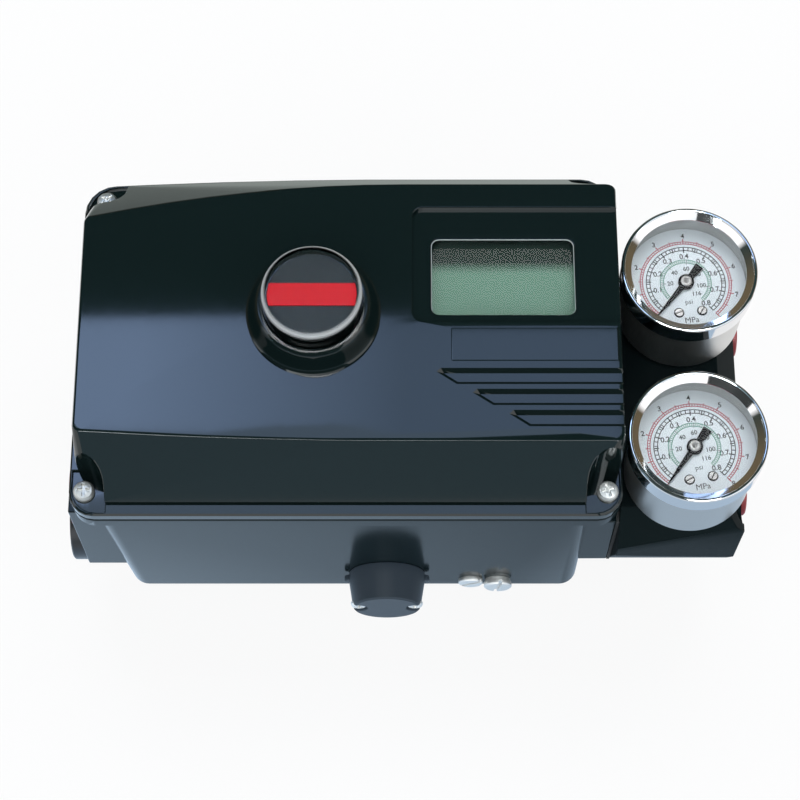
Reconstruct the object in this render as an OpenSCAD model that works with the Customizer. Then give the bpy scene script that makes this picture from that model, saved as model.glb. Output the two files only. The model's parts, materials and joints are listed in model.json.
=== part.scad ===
// Rotary valve positioner: die-cast housing, moulded cover with indicator dome
// and display, and a side block that carries two pressure gauges.
// The origin is on the main shaft's axis at the rear mounting face. +Z points
// out of the front cover, +X to the gauges and +Y to the top of the face.

/* [Housing] */
// Width of the rim where cover and base meet
rim_w = 176.5; // [168:0.5:190]
// Height of the rim
rim_h = 120; // [116:1:134]
// Distance from the rim's left edge to the shaft axis
shaft_to_left = 78; // [74:1:84]
// Radius of the rim's lower corners
rim_r = 8; // [6:0.5:10]
// Radius of the rim's upper corners
rim_top_r = 10; // [7:0.5:11]
// Depth from the rear face to the parting line
base_depth = 76; // [74:1:90]
// Wall thickness of the base casting
base_wall = 4; // [3:0.5:5]
// Thickness of the rear wall
rear_wall = 8; // [7:0.5:10]
// Step from the rim in to the left wall
left_step = 7; // [6:0.5:9]
// Further inset of the left wall at the rear
left_taper = 5; // [3:0.5:9]
// Step from the rim in to the right wall
right_step = 9.5; // [6:0.5:12]
// Step from the rim in to the two long walls
long_step = 1.4; // [0.8:0.1:3]
// Thickness of the base's flange at the rim
flange_t = 8; // [6:0.5:10]
// Fall of the rim's upper edge towards the left
rim_fall = 2.6; // [0:0.2:3]
// Thickness of the cover gasket
gasket_t = 1; // [0.8:0.1:1.5]

/* [Front cover] */
// Height of the cover from its lower edge to the face
cover_h = 27; // [25:0.5:32]
// Wall thickness of the cover
cover_wall = 4; // [3.5:0.25:5]
// Thickness of the cover's flange
cover_lip = 4; // [3:0.5:5]
// Distance from the rim to the face's lower edge
face_low_inset = 16.2; // [13:0.2:18]
// Distance from the rim to the face's upper edge
face_high_inset = 13.6; // [12:0.2:17]
// Fall of the upper edge towards the left
face_high_fall = 11.2; // [6:0.2:14]
// Fall of the lower edge towards the left
face_low_fall = 3.2; // [1:0.1:6]
// Distance from the rim to the face's left side
face_left_inset = 3.2; // [2:0.1:5]
// Distance from the rim to the face's right side
face_right_inset = 0.8; // [0.5:0.1:2]
// Straight length of the face's long edges, from the right
face_straight = 70; // [50:1:90]
// Radius of the screw pockets
pocket_r = 7; // [6:0.25:8]
// Screw axis from the short sides of the rim
screw_in_x = 4.8; // [4.7:0.1:6]
// Screw axis from the long sides of the rim
screw_in_y = 8.2; // [7:0.1:9]
// Depth of the display recess at its upper edge
recess_depth = 1.9; // [1.4:0.1:2.2]
// Depth of the display recess at its lower edge
recess_low_depth = 1; // [0.6:0.1:1.4]
// Width of the display opening
window_w = 46; // [40:0.2:50]
// Height of the display opening
window_h = 27; // [22:0.2:30]
// Display opening's right edge from the face's right side
window_right = 14.2; // [11:0.2:16]
// Display opening's lower edge above the shaft axis
window_low = -0.1; // [-4:0.1:2]
// Width of one decorative groove
groove_w = 5.5; // [3:0.25:5.75]
// Spacing of the decorative grooves
groove_pitch = 7.1; // [6.5:0.1:7.5]
// Depth of the decorative grooves
groove_depth = 1.4; // [0.8:0.1:2]

/* [Indicator] */
// Outer radius of the collar at the face
collar_r = 21.4; // [20:0.2:23]
// Outer radius of the clear dome
dome_r = 15.9; // [15:0.1:17]
// Height of the dome's top above the face
dome_rise = 18; // [15:0.5:21]
// Wall thickness of the clear dome
dome_wall = 1.4; // [1.2:0.1:1.8]
// Radius of the indicator disc
disc_r = 14; // [12:0.1:14.2]
// Width of the red bar
bar_w = 7.6; // [5:0.2:10]

/* [Shaft and feedback] */
// Radius of the main shaft
shaft_r = 6; // [5:0.25:7]
// Length of shaft behind the rear face
shaft_out = 22; // [16:1:30]
// Gear module
gear_module = 1.25; // [1:0.25:1.25]
// Teeth on the shaft gear
gear_teeth = 36; // [30:2:36]
// Teeth on the potentiometer gear
pot_teeth = 18; // [15:1:18]
// Face width of both gears
gear_face = 6; // [4:0.5:7]
// Radius of the potentiometer body
pot_r = 10; // [9:0.25:10.5]

/* [Gauges] */
// Outer radius of the case
case_r = 20.75; // [18.5:0.25:22]
// Reach of the bezel beyond the case
bezel_over = 1.4; // [1.2:0.1:2.4]
// Length of the gauge in front of the block
gauge_len = 33; // [29:0.5:36]
// Distance between the gauge axes
gauge_pitch = 57.8; // [50:0.2:62]
// Lower gauge's case above the rim's lower edge
gauge_foot = 0.65; // [0:0.05:3]
// Gap between the rim's right edge and the bezels
gauge_side = 0.75; // [0.2:0.05:3]
// Pointer length from axis to tip
pointer_len = 15.4; // [12:0.2:16]
// Turn of the upper dial as fitted
upper_turn = 6; // [-10:1:10]
// Turn of the lower dial as fitted
lower_turn = 9; // [-10:1:10]

/* [Gauge block] */
// Width of the block from its joint to the right face
block_w = 42; // [41:0.5:46]
// Front face of the block above the rear plane
block_front = 63; // [61:0.5:68]
// Rear face of the block above the rear plane
block_rear = 10; // [8:0.5:14]
// Radius of the tapped air ports
port_r = 5.9; // [4.4:0.1:6.2]
// Depth of the tapped air ports
port_depth = 14; // [10:0.5:16]
// Height of the air ports above the rear plane
port_z = 42; // [38:0.5:44]

/* [Outside fittings] */
// Radius of the two conduit entries
conduit_r = 10.4; // [9:0.1:10.6]
// Radius of the vent cap
vent_r = 13; // [11:0.25:13.5]
// Length of the vent cap
vent_len = 12.6; // [10:0.2:16]
// Vent axis from the shaft axis
vent_x = 23; // [16:1:28]
// Spacing of the rear bolt holes across
bolt_dx = 70; // [64:1:76]
// Spacing of the rear bolt holes up and down
bolt_dy = 50; // [46:1:56]
// Tapping radius of the rear bolt holes
bolt_r = 3.4; // [2.5:0.1:4]
// Depth of the rear bolt holes
bolt_depth = 13; // [10:0.5:14]

/* [Hidden] */

$fn = 64;
blend_fn = 32;
eps = 0.01;
// Radial clearance of running fits
run = 0.05;
// Radial clearance of screws and plugs in their holes
slack = 0.1;

// Colours
c_cover = "#161c1d";
c_base = "#22282c";
c_steel = "#c9ccce";
c_brass = "#b99a52";
c_red = "#b3161b";
c_board = "#1f5a35";
c_glass = "#cfe0dc";
c_dark = "#2a2c2e";

// Planes along Z
gasket_top = base_depth + gasket_t;
face_z = gasket_top + cover_h;
lip_z = gasket_top + cover_lip;
ceiling_z = face_z - cover_wall;
flange_z = base_depth - flange_t;

// Rim and wall lines
rim_x0 = -shaft_to_left;
rim_x1 = rim_w - shaft_to_left;
rim_y0 = -rim_h / 2;
rim_y1 = rim_h / 2;
wall_x0 = rim_x0 + left_step;
wall_x1 = rim_x1 - right_step;
wall_y0 = rim_y0 + long_step;
wall_y1 = rim_y1 - rim_fall - long_step;
in_x0 = wall_x0 + left_taper + base_wall;
in_x1 = wall_x1 - base_wall;
in_y0 = wall_y0 + base_wall;
in_y1 = wall_y1 - base_wall;
wall_r = 6;

// A box between two corners
module bar(x0, x1, y0, y1, z0, z1) {
    translate([x0, y0, z0]) cube([x1 - x0, y1 - y0, z1 - z0]);
}

// A rectangle with round corners, between two corner points
module rounded_rect(x0, x1, y0, y1, r) {
    translate([x0 + r, y0]) square([x1 - x0 - 2 * r, y1 - y0]);
    translate([x0, y0 + r]) square([x1 - x0, y1 - y0 - 2 * r]);
    for (x = [x0 + r, x1 - r], y = [y0 + r, y1 - r]) translate([x, y]) circle(r);
}

module slab(x0, x1, y0, y1, r, z0, z1) {
    translate([0, 0, z0]) linear_extrude(z1 - z0) rounded_rect(x0, x1, y0, y1, r);
}

// A solid turned about Z from a profile of [radius, height] points
module turned(profile) {
    rotate_extrude() polygon(profile);
}

module tube(outer, inner, z0, z1) {
    translate([0, 0, z0]) difference() {
        cylinder(r = outer, h = z1 - z0);
        translate([0, 0, -eps]) cylinder(r = inner, h = z1 - z0 + 2 * eps);
    }
}

module rod(r, z0, z1) {
    translate([0, 0, z0]) cylinder(r = r, h = z1 - z0);
}

// Pan head screw along -Z, head seated on the plane z = 0, with a cross recess
module pan_screw(head_r, head_h, shank_r, shank_len) {
    recess_w = head_r * 0.28;
    difference() {
        turned([[0, -shank_len], [shank_r, -shank_len], [shank_r, 0], [head_r, 0],
            [head_r, head_h * 0.45], [head_r * 0.82, head_h * 0.85], [head_r * 0.4, head_h], [0, head_h]]);
        for (a = [0, 90]) rotate(a)
            translate([-head_r * 0.62, -recess_w / 2, head_h * 0.45])
                cube([head_r * 1.24, recess_w, head_h]);
    }
}

// Cylinder head screw along -Z, head seated on the plane z = 0, with a straight slot
module slot_screw(head_r, head_h, shank_r, shank_len) {
    difference() {
        turned([[0, -shank_len], [shank_r, -shank_len], [shank_r, 0], [head_r, 0],
            [head_r, head_h * 0.75], [head_r * 0.88, head_h], [0, head_h]]);
        translate([-head_r - 1, -head_r * 0.13, head_h * 0.5]) cube([2 * head_r + 2, head_r * 0.26,
            head_h]);
    }
}

// Points of a round corner, a quarter turn from angle a0
function corner(x, y, r, a0) = [for (i = [0:5]) [x + r * cos(a0 + 18 * i), y + r * sin(a0 + 18 * i)]];

// A round-cornered outline whose long edges fall off towards the left in a curve
bend_x = rim_x1 - face_straight;
bend_steps = 8;
function fall_at(i) = i / bend_steps * i / bend_steps;
function outline(x0, x1, y0, y1, r, top_r, low, high) = concat(
    corner(x1 - r, y0 + r, r, -90),
    corner(x1 - top_r, y1 - top_r, top_r, 0),
    [for (i = [0:bend_steps - 1]) [bend_x - (bend_x - x0 - top_r) * i / bend_steps,
        y1 - high * fall_at(i)]],
    corner(x0 + top_r, y1 - high - top_r, top_r, 90),
    corner(x0 + r, y0 + low + r, r, 180),
    [for (i = [bend_steps - 1:-1:0]) [bend_x - (bend_x - x0 - r) * i / bend_steps, y0 + low * fall_at(i)]]
);
function rim_outline(inset) = outline(rim_x0 + inset, rim_x1 - inset, rim_y0 + inset, rim_y1 - inset,
    rim_r, rim_top_r, 0, rim_fall);
face_corner_r = 2.6;
face_x0 = rim_x0 + face_left_inset;
face_x1 = rim_x1 - face_right_inset;
face_y0 = rim_y0 + face_low_inset;
face_y1 = rim_y1 - face_high_inset;
function face_outline(inset) = outline(face_x0 + inset, face_x1 - inset, face_y0 + inset, face_y1 - inset,
    face_corner_r, face_corner_r, face_low_fall, face_high_fall);

module plate(points, z0, z1) {
    translate([0, 0, z0]) linear_extrude(z1 - z0) polygon(points);
}

// Cover screws stand in the rim's four corners
screw_corner_in = 7.2;
screw_corner_down = 6.2;
screw_top_y = rim_y1 - screw_corner_down;
screw_left_top_y = rim_y1 - rim_fall - screw_corner_down;
screw_low_y = rim_y0 + screw_in_y;
cover_screw_at = [
    [rim_x0 + screw_in_x, screw_low_y, 0], [rim_x1 - screw_in_x, screw_low_y, 1],
    [rim_x1 - screw_corner_in, screw_top_y, 2], [rim_x0 + screw_corner_in, screw_left_top_y, 3]
];
cover_screw_r = 2;
cover_screw_head_r = 3.4;
cover_screw_head_h = 2.8;
cover_screw_turn = 17;
pocket_sink = 1.2;
cover_screw_end = 2;
cover_screw_len = cover_lip - pocket_sink + gasket_t + flange_t - cover_screw_end;

// Conduit block on the left wall, with one entry in front of the other
entry_wall = 4.6;
entry_side = 3.8;
entry_y = wall_y0 + entry_side + entry_wall + conduit_r;
entry_low_z = rear_wall + conduit_r + 2;
entry_high_z = entry_low_z + 2 * conduit_r + 7;
conduit_half = conduit_r + entry_wall;
conduit_x = rim_x0 - 1.8;
conduit_rear = rear_wall;
conduit_heel = 8;

// Gauge positions and the pad that carries their block
bezel_r = case_r + bezel_over;
gauge_x = rim_x1 + gauge_side + bezel_r;
gauge_low = rim_y0 + gauge_foot + case_r;
gauge_up = gauge_low + gauge_pitch;
port_mid_y = (gauge_up + gauge_low) / 2;
block_y0 = rim_y0;
block_over = 20;
block_y1 = gauge_up + block_over;
block_gasket_t = 1;
block_x0 = rim_x1 + block_gasket_t;
block_x1 = block_x0 + block_w;
pad_in = 3;
pad_y0 = block_y0 + 2 * pad_in;
pad_y1 = block_y1 - 2 * pad_in;
pad_z0 = block_rear + 8;
pad_z1 = block_front - 6;
block_screw_r = 2.5;
block_screw_in = 6.4;
block_screw_at = [for (y = [pad_y0 + block_screw_in, pad_y1 - block_screw_in],
    z = [pad_z0 + block_screw_in, pad_z1 - block_screw_in]) [y, z]];
block_screw_bite = right_step + 1;
air_r = 2;
air_y = [gauge_up, port_mid_y, gauge_low];

// Vent and ground screws on the lower wall
vent_z = vent_r + 3;
vent_hole_r = 4;
ground_x = [wall_x1 - 37, wall_x1 - 27.6];
ground_z = 9;
ground_r = 2;
ground_bite = 7;

// Main shaft seat in the rear wall
bush_r = shaft_r + 3;
seal_h = 3;
bush_flange_t = 2;

// Main board on four posts
board_z = base_depth - 20;
board_t = 1.6;
board_x0 = in_x0 + 2;
board_x1 = in_x1 - 2;
board_y0 = in_y0 + 2;
board_y1 = in_y1 - 2;
post_r = 4;
post_in = 5;
post_at = [for (x = [board_x0 + post_in, board_x1 - post_in], y = [board_y0 + post_in,
    board_y1 - post_in]) [x, y]];
board_screw_r = 1.3;
board_screw_len = 8;

rear_round = 4;
bolt_boss_r = 8;

// Outer form of the tub: tapered to the left, with a rounded rear edge
module tub_outside() {
    hull() {
        slab(wall_x0, wall_x1, wall_y0, wall_y1, wall_r, flange_z, flange_z + 1, $fn = blend_fn);
        slab(wall_x0 + left_taper, wall_x1, wall_y0, wall_y1, wall_r, rear_round, rear_round + 1,
            $fn = blend_fn);
        slab(wall_x0 + left_taper + 1, wall_x1 - 1, wall_y0 + 1, wall_y1 - 1, wall_r, rear_round / 4, 2,
            $fn = blend_fn);
        slab(wall_x0 + left_taper + rear_round, wall_x1 - rear_round, wall_y0 + rear_round,
            wall_y1 - rear_round,
            wall_r, 0, 1, $fn = blend_fn);
    }
}

module tub_inside() {
    hull() {
        slab(wall_x0 + base_wall, in_x1, in_y0, in_y1, wall_r - 2, flange_z, base_depth + 1,
            $fn = blend_fn);
        slab(in_x0, in_x1, in_y0, in_y1, wall_r - 2, rear_wall, rear_wall + 1, $fn = blend_fn);
    }
}

// Base flange with a chamfered lower edge
module base_flange() {
    flange_chamfer = 3;
    plate(rim_outline(0), flange_z + flange_chamfer, base_depth);
    hull() {
        plate(rim_outline(0), flange_z + flange_chamfer, flange_z + flange_chamfer + 1);
        plate(rim_outline(flange_chamfer), flange_z, flange_z + 1);
    }
}

module base_housing() {
    color(c_base) difference() {
        union() {
            difference() {
                union() {
                    tub_outside();
                    base_flange();
                }
                tub_inside();
            }
            // Conduit block
            translate([conduit_x, 0, 0]) rotate([90, 0, 90]) linear_extrude(in_x0 - conduit_x)
                polygon([[entry_y - conduit_half, flange_z + 1], [entry_y - conduit_half,
                    conduit_rear + conduit_heel],
                    [entry_y - conduit_half + conduit_heel, conduit_rear],
                    [entry_y + conduit_half, conduit_rear], [entry_y + conduit_half, flange_z + 1]]);
            // Pad for the gauge block
            bar(wall_x1 - base_wall / 2, rim_x1, pad_y0, pad_y1, pad_z0, pad_z1);
            // Bosses for the rear bolts
            for (x = [-bolt_dx / 2, bolt_dx / 2], y = [-bolt_dy / 2, bolt_dy / 2])
                translate([x, y, 0]) rod(bolt_boss_r, rear_wall - 1, bolt_depth + 3);
            // Posts under the main board
            for (p = post_at) translate([p[0], p[1], 0]) rod(post_r, rear_wall - 1, board_z);
            // Thick place behind the ground screws
            bar(ground_x[0] - 6, ground_x[1] + 6, in_y0 - 1, wall_y0 + ground_bite + 2, rear_wall - 1,
                ground_z + 6);
        }
        // Shaft bore, rear bolt holes and screw holes
        rod(bush_r + slack, -1, rear_wall + 1);
        for (x = [-bolt_dx / 2, bolt_dx / 2], y = [-bolt_dy / 2, bolt_dy / 2])
            translate([x, y, 0]) rod(bolt_r, -1, bolt_depth);
        for (s = cover_screw_at)
            translate([s[0], s[1], 0]) rod(cover_screw_r + slack, flange_z + 1, base_depth + 1);
        for (p = post_at)
            translate([p[0], p[1], 0]) rod(board_screw_r + slack, board_z - board_screw_len, board_z + 1);
        // Conduit bore, vent hole, ground screw holes
        for (z = [entry_low_z, entry_high_z]) translate([conduit_x - 1, entry_y, z]) rotate([0, 90, 0])
            cylinder(r = conduit_r + slack, h = in_x0 - conduit_x + base_wall + 2);
        translate([vent_x, in_y0 + 1, vent_z]) rotate([90, 0, 0]) cylinder(r = vent_hole_r,
            h = base_wall + 2);
        for (x = [-vent_screw_in, vent_screw_in])
            translate([vent_x + x, in_y0 - 1, vent_z]) rotate([90, 0, 0])
                cylinder(r = vent_screw_r + slack, h = base_wall);
        for (x = ground_x)
            translate([x, wall_y0 + ground_bite, ground_z]) rotate([90, 0, 0])
                cylinder(r = ground_r + slack, h = ground_bite + 1);
        // Air ways and screw holes in the gauge pad
        for (y = air_y) translate([in_x1 - 1, y, port_z]) rotate([0, 90, 0]) cylinder(r = air_r,
            h = right_step + base_wall + 2);
        for (s = block_screw_at) translate([rim_x1 - block_screw_bite, s[0], s[1]]) rotate([0, 90, 0])
            cylinder(r = block_screw_r + slack, h = block_screw_bite + 1);
    }
}

edge_soft = 1.2;
skirt_low = 4;
skirt_high = 1.2;
skirt_left = 2.6;
skirt_foot = 1.5;
lip_chamfer = 0.6;
pocket_wall = 2.2;
pocket_lip = 1;
screw_hole_gap = 0.3;

// Display opening, the recess round it and the parts behind it
window_x1 = face_x1 - window_right;
window_x0 = window_x1 - window_w;
window_y0 = window_low;
window_y1 = window_low + window_h;
window_r = 2.6;
recess_left = 6.1;
recess_below = 2.8;
recess_above = 10.6;
recess_r = 3.6;
pane_lap = 2.5;
pane_t = 1.5;
display_gap = 8.2;
display_z = ceiling_z - display_gap;
display_t = 1.6;
display_x0 = window_x0 - 7;
display_x1 = window_x1 + 5;
display_y0 = window_y0 - 18;
display_y1 = window_y1 + 9;
display_post_r = 2.6;
display_post_at = [for (x = [display_x0 + 3, display_x1 - 3], y = [display_y0 + 3, display_y1 - 3]) [x, y]];
display_screw_r = 1;

// Grooves below the display: each starts further to the right than the last
groove_y = window_y0 - 18.8;
groove_x = window_x0 + 1.5;
groove_step = 11.3;
groove_lead = 6.3;
groove_nib = 1.3;
groove_bank = 1.3;
pad_rise = 0.2;
pad_left = 6.2;
pad_gap_high = 2.2;
pad_gap_low = 2.4;

// Dome seat in the collar
collar_h = 8.4;
seat_z = face_z + 2;
dome_seal_t = 1;
dome_z = seat_z + dome_seal_t;
dome_top = face_z + dome_rise;
stem_r = shaft_r - 2;
stem_gap = 1.2;

// The room round one cover screw, open towards the rim's corner
module pocket(s, r, z0, z1) {
    reach = max(screw_in_x, screw_in_y) + 4;
    translate([s[0], s[1], z0])
        mirror([s[2] == 0 || s[2] == 3 ? 1 : 0, 0, 0])
            mirror([0, s[2] < 2 ? 1 : 0, 0]) {
                cylinder(r = r, h = z1 - z0);
                translate([-r, 0, 0]) cube([r + reach, reach, z1 - z0]);
                translate([0, -r, 0]) cube([reach, r + reach, z1 - z0]);
            }
}

function skirt_outline(inset) = outline(rim_x0 + skirt_left + inset, face_x1 - inset,
    rim_y0 + skirt_low + inset,
    rim_y1 - skirt_high - inset, rim_r, rim_top_r, 0, rim_fall);

module cover_outside() {
    plate(rim_outline(0), gasket_top, lip_z - lip_chamfer);
    hull() {
        plate(rim_outline(0), lip_z - lip_chamfer - eps, lip_z - lip_chamfer);
        plate(rim_outline(lip_chamfer), lip_z - eps, lip_z);
    }
    hull() {
        plate(face_outline(edge_soft), face_z - eps, face_z);
        plate(face_outline(edge_soft * 0.3), face_z - edge_soft * 0.3, face_z - edge_soft * 0.3 + eps);
        plate(face_outline(0), face_z - edge_soft - eps, face_z - edge_soft);
        plate(skirt_outline(0), lip_z - eps, lip_z + skirt_foot);
    }
}

module cover_inside() {
    difference() {
        hull() {
            plate(face_outline(cover_wall), ceiling_z - 1, ceiling_z);
            plate(skirt_outline(cover_wall), gasket_top - 1, lip_z);
        }
        for (s = cover_screw_at) pocket(s, pocket_r + pocket_wall, gasket_top - 2, face_z);
        for (p = display_post_at) translate([p[0], p[1], 0]) rod(display_post_r, display_z, face_z);
        rod(collar_r - 1, ceiling_z - 3, face_z);
    }
}

// One pointed groove with sloping banks
module groove(i) {
    x = groove_x + groove_step * i;
    y = groove_y - groove_pitch * i;
    right = face_x1 + 2;
    slope = groove_lead / (groove_w - groove_nib);
    bank_x = x + groove_bank * sqrt(1 + slope * slope);
    hull() {
        plate([[right, y], [x + groove_nib, y], [x, y - groove_nib], [x + groove_lead, y - groove_w],
            [right, y - groove_w]], face_z, face_z + 1);
        plate([[right, y - groove_bank], [bank_x + slope * (groove_bank - groove_nib), y - groove_bank],
            [bank_x + slope * (groove_w - groove_bank - groove_nib), y - groove_w + groove_bank],
            [right, y - groove_w + groove_bank]], face_z - groove_depth, face_z - groove_depth + eps);
    }
}

// Collar that flares from the face up to the dome, bored for the dome and the shaft
module collar_outside() {
    flare_r = dome_r + 2;
    foot_h = 0.9;
    foot_in = 0.9;
    turned([[0, ceiling_z - 3], [collar_r - 1, ceiling_z - 3], [collar_r, face_z - 1], [collar_r,
        face_z + foot_h],
        [collar_r - foot_in / 2, face_z + foot_h + 0.4], [collar_r - foot_in, face_z + foot_h + 0.9],
        [flare_r + 0.6, face_z + collar_h - 1.2], [flare_r, face_z + collar_h - 0.4],
        [flare_r - 0.6, face_z + collar_h], [0, face_z + collar_h]]);
}

// Display recess with a floor that falls towards the top
module recess() {
    low_y = window_y0 - recess_below;
    high_y = window_y1 + recess_above;
    right = face_x1 + 3 * recess_r;
    intersection() {
        slab(window_x0 - recess_left, right, low_y, high_y, recess_r, face_z - recess_depth - 1,
            face_z + 1);
        translate([window_x0 - recess_left, 0, 0]) rotate([90, 0, 90])
            linear_extrude(right - window_x0 + recess_left)
            polygon([[low_y, face_z + 1], [low_y, face_z - recess_low_depth], [high_y,
                face_z - recess_depth],
                [high_y, face_z + 1]]);
    }
}

module front_cover() {
    color(c_cover) difference() {
        union() {
            difference() {
                cover_outside();
                cover_inside();
            }
            collar_outside();
            bar(window_x0 + pad_left, face_x1 - edge_soft, groove_y + pad_gap_low,
                window_y0 - recess_below - pad_gap_high,
                face_z - 1, face_z + pad_rise);
        }
        for (s = cover_screw_at) {
            pocket(s, pocket_r, lip_z, face_z + 1);
            intersection() {
                pocket(s, pocket_r, lip_z - pocket_sink, lip_z + 1);
                plate(rim_outline(pocket_lip), lip_z - pocket_sink - 1, lip_z + 2);
            }
            translate([s[0], s[1], 0]) rod(cover_screw_r + screw_hole_gap, gasket_top - 1, lip_z + 1);
        }
        // Display recess and opening
        recess();
        slab(window_x0, window_x1, window_y0, window_y1, window_r, ceiling_z - 1, face_z + 1);
        for (i = [0:2]) groove(i);
        // Dome seat and shaft hole
        rod(dome_r + slack, seat_z, face_z + collar_h + 1);
        rod(stem_r + stem_gap, ceiling_z - 4, seat_z + 1);
        for (p = display_post_at) translate([p[0], p[1], 0]) rod(display_screw_r + slack, display_z - 1,
            ceiling_z - 2);
    }
}

module cover_gasket() {
    gasket_in = 1.5;
    gasket_band = 3.2;
    color("#101112") difference() {
        plate(rim_outline(gasket_in), base_depth, gasket_top);
        plate(rim_outline(gasket_in + gasket_band), base_depth - 1, gasket_top + 1);
        for (s = cover_screw_at) translate([s[0], s[1], 0])
            rod(cover_screw_r + screw_hole_gap, base_depth - 1, gasket_top + 1);
    }
}

module cover_screws() {
    color(c_steel) for (s = cover_screw_at)
        translate([s[0], s[1], lip_z - pocket_sink]) rotate(cover_screw_turn * s[2])
            pan_screw(cover_screw_head_r, cover_screw_head_h, cover_screw_r, cover_screw_len);
}

module indicator_dome() {
    round_r = 3;
    bell = [for (i = [0:6]) [dome_r - round_r + round_r * cos(15 * i),
        dome_top - round_r + round_r * sin(15 * i)]];
    inner_r = dome_r - dome_wall;
    inner_top = dome_top - dome_wall;
    inner_round = round_r - dome_wall;
    hollow = [for (i = [6:-1:0])
        [inner_r - inner_round + inner_round * cos(15 * i),
            inner_top - inner_round + inner_round * sin(15 * i)]];
    color(c_glass, 0.35)
        turned(concat([[inner_r, dome_z], [dome_r, dome_z]], bell, [[0, dome_top], [0, inner_top]],
            hollow));
}

module dome_seal() {
    color("#101112") tube(dome_r - slack, dome_r - 2.2, seat_z, dome_z);
}

module lcd_window() {
    color(c_glass, 0.35) slab(window_x0 - pane_lap, window_x1 + pane_lap, window_y0 - pane_lap,
        window_y1 + pane_lap,
        1, ceiling_z - pane_t, ceiling_z);
}

module lcd_panel() {
    panel_gap = 0.2;
    color("#7d9587") bar(window_x0 - 1.6, window_x1 + 1.6, window_y0 - 1.6, window_y1 + 1.6,
        display_z, ceiling_z - pane_t - panel_gap);
}

module display_board() {
    color(c_board) difference() {
        bar(display_x0, display_x1, display_y0, display_y1, display_z - display_t, display_z);
        for (p = display_post_at) translate([p[0], p[1], 0])
            rod(display_screw_r + slack, display_z - display_t - 1, display_z + 1);
    }
}

module display_screws() {
    color(c_steel) for (p = display_post_at)
        translate([p[0], p[1], display_z - display_t]) mirror([0, 0, 1])
            pan_screw(2, 1.3, display_screw_r, display_t + 4);
}

// Push buttons on the display board: a housing with a sliding plunger each
button_pitch = 11.5;
button_y = display_y0 + 7.5;
button_x = [for (i = [0:3]) window_x0 + 6 + button_pitch * i];
button_half = 3;
button_housing_h = 4;
button_r = 1.75;
button_travel = 0.5;
button_top = display_z + button_housing_h + 1.8;
button_foot = display_z + 1 + button_travel + 0.3;

module button_switches() {
    color(c_dark) for (x = button_x) translate([x, button_y, 0]) difference() {
        bar(-button_half, button_half, -button_half, button_half, display_z, display_z + button_housing_h);
        rod(button_r + run, display_z + 1, display_z + button_housing_h + 1);
    }
}

module button(i) {
    color("#d8d8d2") translate([button_x[i], button_y, 0])
        turned([[0, button_foot], [button_r, button_foot], [button_r, button_top - 0.3],
            [button_r - 0.3, button_top], [0, button_top]]);
}

module enter_button() { button(0); }
module up_button() { button(1); }
module down_button() { button(2); }
module escape_button() { button(3); }

// Main board with its terminals, on the base's posts
shaft_hole_r = shaft_r + 2;
board_top = board_z + board_t;
terminal_ways = 6;
terminal_pitch = 5;
terminal_x = board_x0 + 5;
terminal_y = board_y0 + 11;
terminal_d = 12;
terminal_h = 12;
terminal_well_r = 1.8;
terminal_well = 6;
wire_hole = 3.2;
wire_hole_z = 1.2;
terminal_screw_h = 3;
terminal_slot_w = 0.6;
terminal_slot_h = 1;
chip_x = 22;
chip_y = 4;
chip_w = 12;
chip_h = 2;
chip_pitch = 18;
capacitor_x = 24;
capacitor_y = -24;
capacitor_r = 4;
capacitor_h = 9;
capacitor_pitch = 12;
board_screw_head_r = 2.4;
board_screw_head_h = 1.6;
board_screw_short = 1;

module main_board() {
    color(c_board) difference() {
        union() {
            bar(board_x0, board_x1, board_y0, board_y1, board_z, board_top);
            for (i = [0:2]) bar(chip_x + chip_pitch * i, chip_x + chip_pitch * i + chip_w, chip_y,
                chip_y + chip_w,
                board_top - eps, board_top + chip_h);
            for (i = [0:1]) translate([capacitor_x + capacitor_pitch * i, capacitor_y, 0])
                rod(capacitor_r, board_top - eps, board_top + capacitor_h);
        }
        rod(shaft_hole_r, board_z - 1, board_top + 1);
        for (p = post_at) translate([p[0], p[1], 0]) rod(board_screw_r + slack, board_z - 1, board_top + 1);
    }
}

module board_screws() {
    color(c_steel) for (p = post_at)
        translate([p[0], p[1], board_top])
            pan_screw(board_screw_head_r, board_screw_head_h, board_screw_r,
                board_t + board_screw_len - board_screw_short);
}

module terminal_block() {
    color("#2f6d48") difference() {
        bar(terminal_x, terminal_x + terminal_ways * terminal_pitch, terminal_y, terminal_y + terminal_d,
            board_top, board_top + terminal_h);
        for (i = [0:terminal_ways - 1]) translate([terminal_x + terminal_pitch * (i + 0.5), terminal_y,
            board_top]) {
            translate([0, terminal_d / 2, 0]) rod(terminal_well_r + slack, terminal_h - terminal_well,
                terminal_h + 1);
            translate([-wire_hole / 2, -1, wire_hole_z]) cube([wire_hole, terminal_d * 0.6, wire_hole]);
        }
    }
}

module terminal_screws() {
    color(c_steel) for (i = [0:terminal_ways - 1])
        translate([terminal_x + terminal_pitch * (i + 0.5), terminal_y + terminal_d / 2, board_top])
            difference() {
            rod(terminal_well_r, terminal_h - terminal_well, terminal_h - terminal_well + terminal_screw_h);
            translate([-terminal_well_r - 1, -terminal_slot_w / 2,
                terminal_h - terminal_well + terminal_screw_h - terminal_slot_h])
                cube([2 * terminal_well_r + 2, terminal_slot_w, 2 * terminal_slot_h]);
        }
}

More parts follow.
